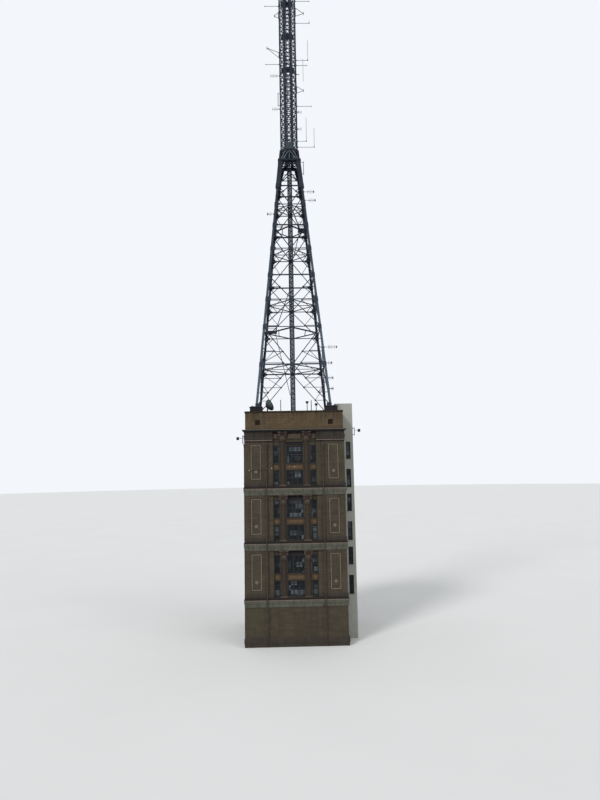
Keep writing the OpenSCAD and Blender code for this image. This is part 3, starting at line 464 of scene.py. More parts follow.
def floor_concrete(name):
    """Plain concrete with pores and board marks."""
    coat = Coat(name)
    boards = coat.cloud(1.0, 2.0, drawn=(2.0, 40.0, 40.0))
    look = coat.laid(opaque(142, 141, 136), opaque(118, 117, 112), boards, 0.3, 0.7)
    coat.close(look, 0.93, coat.relief(coat.cloud(150.0, 4.0, 0.7), 0.4, 0.001))


def window_paint(name, colour):
    """Old gloss paint on window frames, dirty in places."""
    coat = Coat(name)
    brushed = coat.cloud(1.0, 2.0, drawn=(300.0, 300.0, 30.0))
    dirt = coat.cloud(60.0, 5.0, 0.7)
    look = coat.laid(shade(colour, 1.05), shade(colour, 0.55), dirt, 0.42, 0.75)
    coat.close(look, 0.45, coat.relief(brushed, 0.15, 0.0004))


def window_glass(name):
    """Old glass, a little wavy and dusty; its panes are painted, most dark with painted shade and
    some pale with a painted reflection of the sky, and darker still where painted shade stands for
    dim rooms behind.
    """
    coat = Coat(name)
    dust = coat.ranged(coat.cloud(30.0, 6.0, 0.7), 0.45, 0.8)
    # Panes painted dark as painted shade and pale as a painted reflection of the sky.
    panes = coat.add("ShaderNodeTexBrick", {
        "Vector": coat.on_wall(), "Color1": opaque(3, 5, 10), "Color2": opaque(132, 144, 150),
        "Scale": 1.0, "Mortar Size": 0.0, "Bias": -0.52, "Brick Width": 0.0613,
        "Row Height": 0.047,
    }, offset=0.0).outputs["Color"]
    # Patches of painted shade for the dim rooms behind the glass.
    inside = coat.cloud(26.0, 3.0, 0.5, (1.0, 1.0, 0.4))
    look = coat.laid(panes, opaque(6, 9, 17), inside, 0.4, 0.7, 0.42)
    look = coat.blended(coat.times(dust, 0.25), look, opaque(84, 90, 92))
    rough = coat.ranged(dust, 0.0, 1.0, 0.06, 0.3)
    coat.close(look, rough, coat.relief(coat.cloud(9.0, 1.0, 0.4), 0.25, 0.004))


def metal_fitting(name, colour, metallic, roughness):
    """Bare or galvanised metal with a dull mottled skin."""
    coat = Coat(name)
    spangle = coat.add("ShaderNodeTexVoronoi", {"Vector": coat.place, "Scale": 160.0})
    look = coat.laid(
        shade(colour, 1.15), shade(colour, 0.7), spangle.outputs["Distance"], 0.1, 0.7,
    )
    skin = coat.relief(coat.cloud(300.0, 4.0, 0.7), 0.15, 0.0004)
    coat.close(look, roughness, skin, Metallic=metallic)


def cable_sheath(name):
    """Black cable sheath, greyed by the weather."""
    coat = Coat(name)
    bands = coat.cloud(1.0, 4.0, 0.6, (60.0, 60.0, 6.0))
    look = coat.laid(opaque(44, 54, 66), opaque(78, 92, 106), bands, 0.35, 0.75)
    coat.close(look, 0.6, coat.relief(bands, 0.2, 0.0006))


def lamp_glass(name):
    """Ribbed milky lamp glass."""
    coat = Coat(name)
    ribs = coat.add(
        "ShaderNodeTexWave", {"Vector": coat.place, "Scale": 90.0, "Distortion": 0.5},
        bands_direction="Z",
    ).outputs["Fac"]
    look = coat.blended(ribs, opaque(150, 148, 142), opaque(118, 118, 114))
    glow = {"Emission Color": (1.0, 0.95, 0.86, 1.0), "Emission Strength": 0.12}
    coat.close(look, 0.25, coat.relief(ribs, 0.4, 0.001), **glow)


def floor_finish(name):
    """Plain pale floor."""
    coat = Coat(name)
    soft = coat.cloud(0.8, 3.0, 0.5)
    look = coat.blended(soft, opaque(232, 232, 230), opaque(226, 226, 224))
    coat.close(look, 0.95, coat.relief(soft, 0.02, 0.002))


def make_finishes(tower, mast):
    """Every finish of the model, from the colours in the panel."""
    masonry("coursed_stone", tower.stone, tower.course_h, 0.75, CORNICE_Z, BAND_Z)
    masonry("parapet_stone", tower.parapet, tower.course_h, 0.6, PARAPET_TOP)
    dressed_stone("moulding_stone", tower.moulding, 0.7, CORNICE_Z)
    ledge_stone("ledge_stone", tower.moulding, painted(84, 84, 74))
    dressed_stone("column_stone", tower.columns, 0.5, CORNICE_Z)
    # Column stone made lighter as painted light on the capitals.
    dressed_stone("lit_capital_stone", shade(tower.columns, 2.05), 0.6)
    # Column stone made lighter as painted light on the frieze and the window lintels.
    dressed_stone("lit_frieze_stone", shade(tower.columns, 1.75), 0.5)
    dressed_stone("pale_stone", painted(116, 104, 94), 0.3)
    # Near-black: painted shadow over the middle windows.
    dressed_stone("head_shadow_stone", painted(24, 23, 27), 0.3)
    dressed_stone("ochre_panel", tower.spandrel, 0.35)
    dressed_stone("coping_stone", painted(38, 34, 31), 0.5)
    dressed_stone("block_paint", tower.block, 0.3)
    render_coat("painted_render", tower.plaster)
    window_paint("window_paint", tower.frame)
    steel_paint("leg_paint", mast.legs, mast.rust, aloft=painted(20, 28, 40))
    steel_paint("bracing_paint", mast.bracing, mast.rust, aloft=painted(18, 25, 37))
    steel_paint("upper_paint", mast.upper, mast.rust * 0.5)
    # Near-black: painted shade of the neck's inside.
    steel_paint("neck_shade_paint", painted(12, 16, 24), mast.rust * 0.2)
    steel_paint("neck_plate_paint", painted(50, 64, 68), mast.rust * 0.4)
    # Paler than the other steel: painted light on the neck's struts.
    steel_paint("neck_strut_lit_paint", painted(112, 128, 134), mast.rust * 0.4)
    steel_paint("aerial_paint", mast.fittings, mast.rust * 0.5, 1.3)
    steel_paint("dish_paint", painted(78, 88, 88), 0.3)
    steel_paint("pipe_paint", painted(66, 58, 52), 0.5)
    metal_fitting("bolt_metal", painted(74, 82, 90), 0.3, 0.6)
    metal_fitting("lead_flashing", painted(96, 98, 96), 0.4, 0.6)
    for make in (roofing_felt, floor_concrete, window_glass, cable_sheath, lamp_glass):
        make(make.__name__)


NODE_FINISHES = {
    "coursed_stone": ("front_wall", "back_wall", "left_wall", "right_wall"),
    "parapet_stone": ("parapet",),
    "ledge_stone": ("ledges",),
    "moulding_stone": ("entablature",),
    "column_stone": ("engaged_columns",),
    "floor_concrete": ("floors",),
    "roofing_felt": ("roof_deck", "bay_roof"),
    "window_paint": (
        "window_frames_front", "window_frames_back", "window_frames_left", "bay_window_frames",
    ),
    "window_glass": ("window_glass",),
    "painted_render": ("bay_outer_wall", "bay_side_walls", "bay_head_wall"),
    "block_paint": ("mast_blocks",),
    "leg_paint": (
        "leg_front_left", "leg_front_right", "leg_back_left", "leg_back_right", "ladders",
    ),
    "bracing_paint": (
        "bracing_front", "bracing_right", "bracing_back", "bracing_left", "plan_bracing",
        "middle_column", "rest_platforms",
    ),
    "upper_paint": (
        "upper_uprights", "upper_sides_front_back", "upper_sides_left_right",
        "upper_sides_diagonal_one", "upper_sides_diagonal_two", "upper_decks", "top_ring",
    ),
    "aerial_paint": ("aerial_arms", "whip_aerials", "yagi_aerials", "roof_aerials"),
    "dish_paint": ("roof_dish",),
}


# Shapes that the pieces are put together from


def turned(degrees, axis="Z"):
    return Matrix.Rotation(math.radians(degrees), 4, axis)


def moved(x, y, z):
    return Matrix.Translation((x, y, z))


def sized(x, y, z=1.0):
    return Matrix.Diagonal((x, y, z, 1.0))


def pattern(build, *values):
    """A small shape built once, to be stamped wherever it is repeated."""
    bm = bmesh.new()
    build(bm, *values)
    bmesh.ops.remove_doubles(bm, verts=bm.verts, dist=1e-6)
    bmesh.ops.recalc_face_normals(bm, faces=bm.faces)
    mesh = bpy.data.meshes.new("pattern")
    bm.to_mesh(mesh)
    bm.free()
    return mesh


def stamp(bm, mesh, place):
    """Adds a copy of a pattern to a piece."""
    copy = mesh.copy()
    copy.transform(place)
    bm.from_mesh(copy)
    bpy.data.meshes.remove(copy)


def stamp_grid(bm, mesh, place, xs, ys, out):
    """Adds a copy at every crossing of the given rows and columns."""
    for x in xs:
        for y in ys:
            stamp(bm, mesh, place @ moved(x, y, out))


def eased_box(bm, size, edge):
    """A box centred on the origin, with its edges eased."""
    bmesh.ops.create_cube(bm, size=1.0, matrix=sized(*size))
    bmesh.ops.bevel(
        bm, geom=bm.edges[:], offset=edge, offset_type="OFFSET", segments=1, profile=0.5,
        affect="EDGES", material=-1,
    )


def box(bm, size, place, edge=0.0006):
    """An eased box laid straight into a piece."""
    shape = pattern(eased_box, size, min(edge, min(size) * 0.3))
    stamp(bm, shape, place)
    bpy.data.meshes.remove(shape)


def boxes(bm, place, *rows):
    """Eased boxes on one place: the size of each, its spot and its edge."""
    for size, spot, edge in rows:
        box(bm, size, place @ moved(*spot), edge)


def surround(bm, place, width, height, bar, deep, edge, upright, rail):
    """Four bars round a field: its outer size, the bar, then the lengths of uprights and rails."""
    for side in (-1, 1):
        box(bm, (bar, deep, upright), place @ moved(side * (width - bar) / 2, 0, 0), edge)
    for side in (-1, 1):
        box(bm, (rail, deep, bar), place @ moved(0, 0, side * (height - bar) / 2), edge)


def drum(bm, low_radius, high_radius, depth, place, sides):
    """A round or many-sided block about its own middle."""
    bmesh.ops.create_cone(
        bm, cap_ends=True, segments=sides, radius1=low_radius, radius2=high_radius, depth=depth,
        matrix=place,
    )


def swept(bm, outline, places):
    """Draws a closed outline through a row of places, and closes its two ends."""
    verts = [bm.verts.new(places[0] @ Vector((x, y, 0.0))) for x, y in outline]
    ring = [bm.edges.new((one, other)) for one, other in zip(verts, verts[1:] + verts[:1])]
    bmesh.ops.contextual_create(bm, geom=ring)
    for before, after in zip(places, places[1:]):
        out = bmesh.ops.extrude_edge_only(bm, edges=ring)["geom"]
        verts = [part for part in out if isinstance(part, bmesh.types.BMVert)]
        fresh = set(verts)
        ring = [
            part for part in out
            if isinstance(part, bmesh.types.BMEdge) and fresh.issuperset(part.verts)
        ]
        bmesh.ops.transform(bm, matrix=after @ before.inverted(), verts=verts)
    bmesh.ops.contextual_create(bm, geom=ring)


def tube(bm, points, radius, sides=8):
    """A round tube through a row of points, square to its own course at each."""
    points = [Vector(point) for point in points]
    places = []
    for i, point in enumerate(points):
        along = (points[min(i + 1, len(points) - 1)] - points[max(i - 1, 0)]).normalized()
        turn = along.to_track_quat("Z", "X").to_matrix().to_4x4()
        places.append(Matrix.Translation(point) @ turn)
    angles = [2 * math.pi * i / sides for i in range(sides)]
    swept(bm, [(radius * math.cos(angle), radius * math.sin(angle)) for angle in angles], places)


def pipe_head(bm, foot, depth_share, steps):
    """A rainwater head that widens upwards: the height and width of each step."""
    places = [foot @ moved(0, 0, rise) @ sized(size, size * depth_share) for rise, size in steps]
    swept(bm, [(-0.5, -0.5), (0.5, -0.5), (0.5, 0.5), (-0.5, 0.5)], places)


def turned_shape(bm, outline, steps=16):
    """Spins an outline of (radius, height) points round the upright axis."""
    verts = [bm.verts.new((radius, 0.0, height)) for radius, height in outline]
    edges = [bm.edges.new(pair) for pair in zip(verts, verts[1:])]
    bmesh.ops.spin(
        bm, geom=verts + edges, cent=(0, 0, 0), axis=(0, 0, 1), angle=2 * math.pi,
        steps=steps, use_merge=True, use_duplicate=False,
    )


def bolt_head(bm, radius, height):
    """A six-sided bolt head on its washer, standing up from z = 0."""
    drum(bm, radius * 1.35, radius * 1.35, height * 0.3, moved(0, 0, height * 0.15), 8)
    drum(bm, radius, radius * 0.86, height * 0.75, moved(0, 0, height * 0.62), 6)


def finish_piece(bm, name, finish):
    """Makes the piece an object that rides on the frame, with its finish."""
    bmesh.ops.recalc_face_normals(bm, faces=bm.faces)
    mesh = bpy.data.meshes.new(name)
    bm.to_mesh(mesh)
    bm.free()
    mesh.shade_smooth()
    mesh.set_sharp_from_angle(angle=math.radians(32))
    mesh.materials.append(FINISHES[finish])
    piece = bpy.data.objects.new(name, mesh)
    bpy.context.scene.collection.objects.link(piece)
    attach(piece, "root")
    return piece


def on_face(turn, x, z, out=0.0):
    """A place on one face of the tower: x to the right, y into the wall, z up."""
    return turned(turn) @ moved(x, -HALF - out, z)


def storeys(sides):
    """Each of these sides of the tower with the foot of each storey."""
    return [(turn, foot) for turn in sides for foot in STOREY_FEET]


# Pieces of the tower


class MAST_OT_dress_frame(bpy.types.Operator):
    """Makes every finish and gives it to the parts that come from the frame."""

    bl_idname = "mast.dress_frame"
    bl_label = "Finish the frame"

    def execute(self, context):
        make_finishes(context.scene.tower_finish, context.scene.mast_finish)
        for finish, names in NODE_FINISHES.items():
            for name in names:
                node = frame["nodes"][name]
                node.data.materials.clear()
                node.data.materials.append(FINISHES[finish])
        return {"FINISHED"}


class MAST_OT_pier_panels(bpy.types.Operator):
    """Raised frames and round bosses on the corner piers."""

    bl_idname = "mast.pier_panels"
    bl_label = "Pier panels"

    def execute(self, context):
        bm = bmesh.new()
        bead, inset = 0.0085, 0.011
        width, height = PANEL_W - 2 * inset, PANEL_H - 2 * inset
        boss = pattern(turned_shape, [
            (0.0, 0.0035), (0.006, 0.0045), (0.009, 0.0025), (0.012, 0.0025), (0.0135, 0.005),
            (0.017, 0.005), (0.0185, 0.0), (0.0, 0.0),
        ], 20)
        for turn, foot in storeys(ALL_SIDES):
            deep = 0.0 if turn == 90 else -PANEL_DEEP
            for side in (-1, 1):
                place = on_face(turn, side * PANEL_X, foot + PANEL_SILL + PANEL_H / 2, deep)
                surround(
                    bm, place, width + bead, height + bead, bead, 0.007, 0.0015,
                    upright=height, rail=width + bead,
                )
                stamp(bm, boss, place @ moved(0, 0, -height * 0.28) @ turned(90, "X"))
        finish_piece(bm, "pier_panel_frames", "pale_stone")
        return {"FINISHED"}


class MAST_OT_window_sills(bpy.types.Operator):
    """Sills under the windows and moulded heads over them."""

    bl_idname = "mast.window_sills"
    bl_label = "Window sills"

    def execute(self, context):
        bm = bmesh.new()
        for turn, foot in storeys(PLAIN_SIDES):
            for x, sill, width, height in WINDOWS:
                boxes(
                    bm, on_face(turn, x, foot + sill, -RECESS),
                    ((width + 0.004, 0.014, 0.008), (0, -0.003, -0.004), 0.0015),
                    ((width + 0.002, 0.008, 0.006), (0, -0.001, height + 0.003), 0.0012),
                )
        finish_piece(bm, "window_sills", "moulding_stone")
        return {"FINISHED"}


class MAST_OT_window_heads(bpy.types.Operator):
    """Dark panels of painted shadow over the middle windows, and lintels in a stone lightened as
    painted light over every upper window.
    """

    bl_idname = "mast.window_heads"
    bl_label = "Window heads"

    def execute(self, context):
        dark, pale = bmesh.new(), bmesh.new()
        for turn, foot in storeys(PLAIN_SIDES):
            for x, width in WINDOW_RUNS:
                head = on_face(turn, x, foot + HIGH_SILL + HIGH_H, -RECESS)
                lintel = ((width + 0.003, 0.0085, 0.0055), (0, -0.001, 0.0472), 0.0012)
                boxes(pale, head, lintel)
                if x == 0.0:
                    # A dark panel of painted shadow over the middle window, with a pale line across
                    # it.
                    boxes(dark, head, ((width, 0.006, 0.037), (0, -0.0006, 0.0255), 0.0008))
                    boxes(pale, head, ((width, 0.0085, 0.0024), (0, -0.0006, 0.0195), 0.0006))
        finish_piece(dark, "window_head_shadow_panels", "head_shadow_stone")
        finish_piece(pale, "window_lintels", "lit_frieze_stone")
        return {"FINISHED"}


class MAST_OT_spandrels(bpy.types.Operator):
    """Panels between the lower and upper windows, each a raised field in a frame."""

    bl_idname = "mast.spandrels"
    bl_label = "Panels between windows"

    def execute(self, context):
        bm = bmesh.new()
        low_sill, low_h = WINDOW_ROWS[0]
        low, high = low_sill + low_h + 0.009, HIGH_SILL - 0.011
        tall = high - low
        for turn, foot in storeys(PLAIN_SIDES):
            for x, width in WINDOW_RUNS:
                wide = width - 0.004
                place = on_face(turn, x, foot + (low + high) / 2, -RECESS)
                surround(
                    bm, place, wide, tall, 0.006, 0.008, 0.001, upright=tall, rail=wide - 0.012,
                )
                box(bm, (wide - 0.02, 0.006, tall - 0.02), place, 0.0018)
        finish_piece(bm, "window_spandrels", "ochre_panel")
        return {"FINISHED"}


def glazing_bars(bm, place, width, height):
    """Thin bars that divide the panes of one window, with its catches."""
    wide = 3 if width > height * 0.8 else 1
    pane_w = (width - 0.0006 - FRAME_W * (wide + 1)) / wide
    pane_h = (height - 0.0006 - FRAME_W * 3) / 2
    bar = 0.0026
    for i in range(wide):
        for j in range(2):
            x = -width / 2 + FRAME_W + pane_w / 2 + i * (pane_w + FRAME_W)
            pane = place @ moved(x, 0, FRAME_W + pane_h / 2 + j * (pane_h + FRAME_W))
            if j:
                box(bm, (pane_w, 0.006, bar), pane @ moved(0, 0, pane_h * 0.16), 0.0006)
            elif pane_w > 0.1:
                box(bm, (bar, 0.006, pane_h), pane, 0.0006)
            box(bm, (0.004, 0.003, 0.009), pane @ moved(0, -0.0055, -pane_h * 0.42), 0.0005)


class MAST_OT_glazing_bars(bpy.types.Operator):
    """Thin glazing bars and catches in every window."""

    bl_idname = "mast.glazing_bars"
    bl_label = "Glazing bars"

    def execute(self, context):
        bm = bmesh.new()
        for turn, foot in storeys(PLAIN_SIDES):
            for x, sill, width, height in WINDOWS:
                glazing_bars(bm, turned(turn) @ moved(x, -FRAME_Y, foot + sill), width, height)
        for foot in STOREY_FEET:
            for sill, height in BAY_ROWS:
                outer = moved(HALF + BAY_OUT - BAY_T / 2, 0, foot + sill) @ turned(90)
                glazing_bars(bm, outer, BAY_WINDOW_W, height)
                for side in (-1, 1):
                    flank = moved(FLANK_X, side * (BAY_W / 2 - BAY_T / 2), foot + sill)
                    glazing_bars(bm, flank, FLANK_W, height)
        finish_piece(bm, "glazing_bars", "window_paint")
        return {"FINISHED"}


def scroll(bm):
    """A scroll of a capital, seen end on: a band drawn inwards round its eye, rising as it goes."""
    turns, steps, radius = 2.1, 34, 0.0145
    places = []
    for share in (i / steps for i in range(steps + 1)):
        band = radius * 0.3 * (1 - 0.6 * share)
        places.append(
            turned(360 * share * turns) @ moved(radius * (1 - 0.86 * share), 0, 0)
            @ turned(90, "X") @ sized(band, 0.0045 + 0.0035 * share)
        )
    swept(bm, [(0.0, 0.0), (0.0, 1.0), (-1.0, 1.0), (-1.0, 0.0)], places)
    drum(bm, radius * 0.97, radius * 0.9, 0.004, moved(0, 0, 0.002), 14)


def leaf(bm):
    """An upright leaf that curls outwards at its tip, on the face of a capital."""
    bmesh.ops.create_grid(bm, x_segments=2, y_segments=6, size=0.5)
    for vert in bm.verts:
        share = vert.co.y + 0.5
        half_w = 0.0085 * math.sin(math.pi * (0.16 + 0.84 * min(1.0, 1.05 - share))) + 0.0008
        spine = 0.0032 * (1 - abs(vert.co.x) * 2)
        vert.co = (
            vert.co.x * 2 * half_w, -0.0275 - 0.012 * share ** 3 - spine,
            CAPITAL_H * 0.56 * (share - 0.7 * max(0.0, share - 0.8)),
        )
    bmesh.ops.solidify(bm, geom=bm.faces[:], thickness=0.0028)


class MAST_OT_capitals(bpy.types.Operator):
    """Scrolls, leaves and square tops of the capitals, and square feet of the columns."""

    bl_idname = "mast.capitals"
    bl_label = "Capitals"

    def execute(self, context):
        bm = bmesh.new()
        curl, blade = pattern(scroll), pattern(leaf)
        for turn, foot in storeys(PLAIN_SIDES):
            highest = CORNICE_Z if foot == STOREY_FEET[-1] else foot + STOREY_H
            top = highest - foot - LEDGE_H - 0.0009
            for side in (-1, 1):
                place = on_face(turn, side * COLUMN_X, foot + LEDGE_H, -RECESS)
                for hand in (-1, 1):
                    spot = moved(hand * 0.034, -0.036, top - 0.033) @ turned(hand * 28)
                    stamp(bm, curl, place @ spot @ turned(90, "X") @ sized(hand, 1))
                for angle in (-62, -31, 0, 31, 62):
                    stamp(bm, blade, place @ moved(0, 0, top - CAPITAL_H * 0.93) @ turned(angle))
                boxes(
                    bm, place, ((0.099, 0.0485, 0.011), (0, -0.0243, top - 0.0062), 0.002),
                    ((0.078, 0.038, 0.012), (0, -0.019, 0.0065), 0.0015),
                )
        finish_piece(bm, "column_capitals", "lit_capital_stone")
        return {"FINISHED"}


def edge_runs(turn, reach, deep, start=0.0):
    """Middle and length of each run along one side of the tower, whole or on its piers alone.

    The runs on the right and left stop against those of the front and back, and the bay stops
    the ones on its own side.
    """
    end = reach if turn in (0, 180) else reach - deep
    if turn == 90:
        start = BAY_W / 2 + 0.0006
    if start == 0.0:
        return [(0.0, 2 * end)]
    return [(side * (start + end) / 2, end - start) for side in (-1, 1)]


class MAST_OT_frieze_fields(bpy.types.Operator):
    """Raised fields of the frieze between and beside the top storey's capitals."""

    bl_idname = "mast.frieze_fields"
    bl_label = "Frieze fields"

    def execute(self, context):
        bm = bmesh.new()
        for turn in PLAIN_SIDES:
            for x, wide in ((-0.2045, 0.05), (0.0, 0.145), (0.2045, 0.05)):
                boxes(
                    bm, on_face(turn, x, FRIEZE_Z, FRIEZE_BACK),
                    ((wide, 0.003, 0.05), (0, 0, 0), 0.0009),
                    ((wide - 0.012, 0.003, 0.038), (0, -0.0021, 0), 0.0012),
                )
        finish_piece(bm, "frieze_fields", "lit_frieze_stone")
        return {"FINISHED"}


class MAST_OT_ledge_fillets(bpy.types.Operator):
    """Pale fillets round the tower on every ledge, and on the piers' highest mouldings."""

    bl_idname = "mast.ledge_fillets"
    bl_label = "Ledge fillets"

    def execute(self, context):
        bm = bmesh.new()
        deep, out = 0.006, LEDGE_OUT + 0.0016
        for turn in ALL_SIDES:
            for foot in STOREY_FEET:
                for x, run in edge_runs(turn, HALF + out, deep):
                    place = on_face(turn, x, foot + FILLET_Z - 0.0035, out - deep / 2)
                    box(bm, (run, deep, 0.007), place, 0.001)
            for x, run in edge_runs(turn, HALF + 0.0055, deep, BAY_HALF + 0.001):
                box(bm, (run, deep, 0.0065), on_face(turn, x, BAND_Z + 0.008, 0.0025), 0.001)
        finish_piece(bm, "ledge_fillets", "pale_stone")
        return {"FINISHED"}


class MAST_OT_parapet_trim(bpy.types.Operator):
    """Louvres in the parapet's vents, and joint covers on its coping."""

    bl_idname = "mast.parapet_trim"
    bl_label = "Parapet trim"

    def execute(self, context):
        louvres, covers, flashing = bmesh.new(), bmesh.new(), bmesh.new()
        slats, slat_gap = 6, 0.0078
        joints, joint_gap = range(-6, 7), 0.079
        face = 0.003 - PARAPET_IN
        for turn in ALL_SIDES:
            for side in (-1, 1):
                vent = on_face(turn, side * VENT_X, PARAPET_Z + VENT_SILL + VENT_W / 2, -0.026)
                surround(
                    louvres, vent, VENT_W, VENT_W, 0.004, 0.014, 0.0008,
                    upright=VENT_W, rail=VENT_W,
                )
                for i in range(slats):
                    slat = vent @ moved(0, 0, 0.008 - VENT_W / 2 + i * slat_gap) @ turned(-38, "X")
                    box(louvres, (VENT_W - 0.006, 0.011, 0.0016), slat, 0.0004)
            for x in (i * joint_gap for i in joints):
                if turn != 90 or abs(x) >= BAY_W / 2 + 0.02:
                    boxes(
                        covers, on_face(turn, x, PARAPET_TOP, -PARAPET_IN),
                        ((0.007, 0.0535, 0.003), (0, 0.0205, -0.0005), 0.001),
                        ((0.007, 0.0025, 0.0115), (0, -0.0052, -0.0055), 0.0008),
                    )
            for dz, out, deep in ((0.0004, 0.0, 0.055), (-0.0137, 0.0012, 0.004)):
                for x, run in edge_runs(turn, HALF + face + out, deep - 0.004):
                    place = on_face(turn, x, PARAPET_TOP + dz, face + out)
                    boxes(covers, place, ((run, deep, 0.0022), (0, deep / 2 - 0.004, 0), 0.0006))
            for thick, back, tall, rise in (
                (0.0018, -0.0008, 0.0062, -0.0026), (0.02, 0.0101, 0.0014, 0.0006),
            ):
                for x, run in edge_runs(turn, HALF + CORNICE_OUT, thick):
                    edge = on_face(turn, x, PARAPET_Z + rise, CORNICE_OUT)
                    boxes(flashing, edge, ((run, thick, tall), (0, back, 0), 0.0005))
        finish_piece(louvres, "parapet_louvres", "pipe_paint")
        finish_piece(covers, "coping_covers", "coping_stone")
        finish_piece(flashing, "cornice_flashing", "lead_flashing")
        return {"FINISHED"}


class MAST_OT_rain_pipes(bpy.types.Operator):
    """Rainwater heads and pipes down the piers, with their collars, brackets and shoes."""

    bl_idname = "mast.rain_pipes"
    bl_label = "Rainwater pipes"

    def execute(self, context):
        bm = bmesh.new()
        out, radius, top = 0.0185, 0.0048, BAND_Z - 0.052
        course = ((-0.002, 0.008), (-0.0015, 0.012), (0, 0.022), (0, 0.05), (0, top))
        clips, low_clip, clip_gap = 12, 0.09, 0.178
        collar = pattern(turned_shape, [
            (0.0, -0.004), (0.0064, -0.004), (0.0064, 0.003), (0.0056, 0.004), (0.0, 0.004),
        ], 12)
        bracket = pattern(eased_box, (0.019, 0.0145, 0.0042), 0.001)
        for turn in PLAIN_SIDES:
            for x in (-PIPE_X, PIPE_X):
                foot = on_face(turn, x, 0.0, out)
                tube(bm, [foot @ Vector((0, y, z)) for y, z in course], radius, 12)
                for z in (low_clip + i * clip_gap for i in range(clips)):
                    stamp(bm, collar, foot @ moved(0, 0, z))
                    stamp(bm, bracket, foot @ moved(0, 0.0105, z))
                pipe_head(bm, foot @ moved(0, 0, top - 0.004), 0.58, (
                    (0.0, 0.012), (0.016, 0.026), (0.034, 0.028), (0.036, 0.031), (0.039, 0.031),
                ))
                spout = ((0, top + 0.026), (out + 0.001, top + 0.03))
                tube(bm, [foot @ Vector((0, y, z)) for y, z in spout], 0.004, 10)
        finish_piece(bm, "rainwater_pipes", "pipe_paint")
        return {"FINISHED"}


class MAST_OT_bay_trim(bpy.types.Operator):
    """Sills of the bay's windows, the lead edge of its roof, and its rainwater pipe."""

    bl_idname = "mast.bay_trim"
    bl_label = "Bay trim"

    def execute(self, context):
        sills, lead, pipe = bmesh.new(), bmesh.new(), bmesh.new()
        sill_w = BAY_WINDOW_W + 0.018
        for foot in STOREY_FEET:
            for sill, height in BAY_ROWS:
                z = foot + sill - 0.0036
                boxes(
                    sills, moved(HALF + BAY_OUT, 0, z),
                    ((0.012, sill_w, 0.007), (0.0022, 0, 0), 0.0014),
                    ((0.004, sill_w - 0.008, 0.005), (0.0008, 0, height + 0.0066), 0.001),
                )
                for side in (-1, 1):
                    flank = moved(FLANK_X, side * (BAY_W / 2 + 0.0022), z)
                    box(sills, (FLANK_W + 0.008, 0.012, 0.007), flank, 0.0014)
        low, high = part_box("bay_roof")
        long, wide = high.x - low.x, high.y - low.y
        roof = moved((low.x + high.x) / 2, (low.y + high.y) / 2, high.z - 0.0012)
        edge, roll, thick = 0.009, 0.004, 0.0022
        for side in (-1, 1):
            spot = roof @ moved(0, side * (wide - edge) / 2, 0)
            box(lead, (long, edge, thick), spot)
        for side in (-1, 1):
            spot = roof @ moved(side * (long - edge) / 2, 0, 0)
            box(lead, (edge, wide - 2 * edge, thick), spot)
        for i in range(1, 6):
            box(lead, (long - 0.02, roll, thick), roof @ moved(0, wide * (i / 6 - 0.5), 0))
        x, y = HALF + 0.022, BAY_W / 2 + 0.0105
        tube(pipe, [(x, y, 0.42), (x, y, 2.2), (x, y, 2.44)], 0.0045, 12)
        for i in range(11):
            box(pipe, (0.015, 0.0125, 0.004), moved(x, y - 0.005, 0.5 + i * 0.18), 0.001)
        pipe_head(pipe, moved(x, y, 2.43), 0.74, ((0.0, 0.012), (0.014, 0.024), (0.03, 0.026)))
        finish_piece(sills, "bay_sills", "painted_render")
        finish_piece(lead, "bay_roof_lead", "lead_flashing")
        finish_piece(pipe, "bay_pipe", "pipe_paint")
        return {"FINISHED"}


class MAST_OT_roof_covering(bpy.types.Operator):
    """Laps of the roofing felt and its upstand inside the parapet."""

    bl_idname = "mast.roof_covering"
    bl_label = "Roof covering"

    def execute(self, context):
        bm = bmesh.new()
        inner = HALF - PARAPET_IN - PARAPET_T
        between_blocks = BLOCK_AT - BLOCK_W / 2
        lap_gap, thick, rise, stand = 0.1, 0.004, 0.015, 0.03
        for y in (i * lap_gap for i in range(-4, 5)):
            left, right = -inner + 0.01, inner - 0.01
            if abs(y) > between_blocks:
                left, right = 0.005 - between_blocks, between_blocks - 0.005
            elif abs(y) < BAY_W / 2:
                right = BAY_HEAD_X - 0.01
            place = moved((left + right) / 2, y, ROOF_Z + 0.0004)
            box(bm, (right - left, 0.005, 0.0014), place, 0.0004)
        for turn in PLAIN_SIDES:
            boxes(
                bm, turned(turn) @ moved(0, -inner + 0.0022, ROOF_Z + rise),
                ((2 * inner - 0.002, thick, stand), (0, 0, 0), 0.001),
                ((2 * inner - 0.002, 0.0056, 0.0032), (0, 0.0004, 0.0165), 0.0008),
            )
        head = moved(BAY_HEAD_X - 0.0022, 0, ROOF_Z + rise)
        box(bm, (thick, BAY_W - 0.004, stand), head, 0.001)
        span = inner - BAY_W / 2
        for side in (-1, 1):
            place = moved(inner - 0.0022, side * (BAY_W / 2 + span / 2), ROOF_Z + rise)
            box(bm, (thick, span - 0.004, stand), place, 0.001)
        finish_piece(bm, "roof_covering", "roofing_felt")
        return {"FINISHED"}


# Pieces of the mast


def half_at(height):
    """Half the width of the square mast at a height above its feet."""
    return FOOT_HALF - SLOPE * height


def up(height):
    """Distance up a leaning side that reaches that height."""
    return height / math.cos(LEAN)


def near_leg(sign, level, inset=0.0):
    """A point on the drawing of a leaning side, at its edge or set in from it."""
    return Vector((sign * (half_at(level) - inset), up(level)))


def on_side(turn, x, y, out=0.0):
    """A place on a leaning side of the mast: x to the right, y up the slope, z outwards."""
    upright = turned(turn) @ moved(0, -FOOT_HALF, FEET_Z)
    return upright @ Matrix.Rotation(math.pi / 2 - LEAN, 4, "X") @ moved(x, y, out)


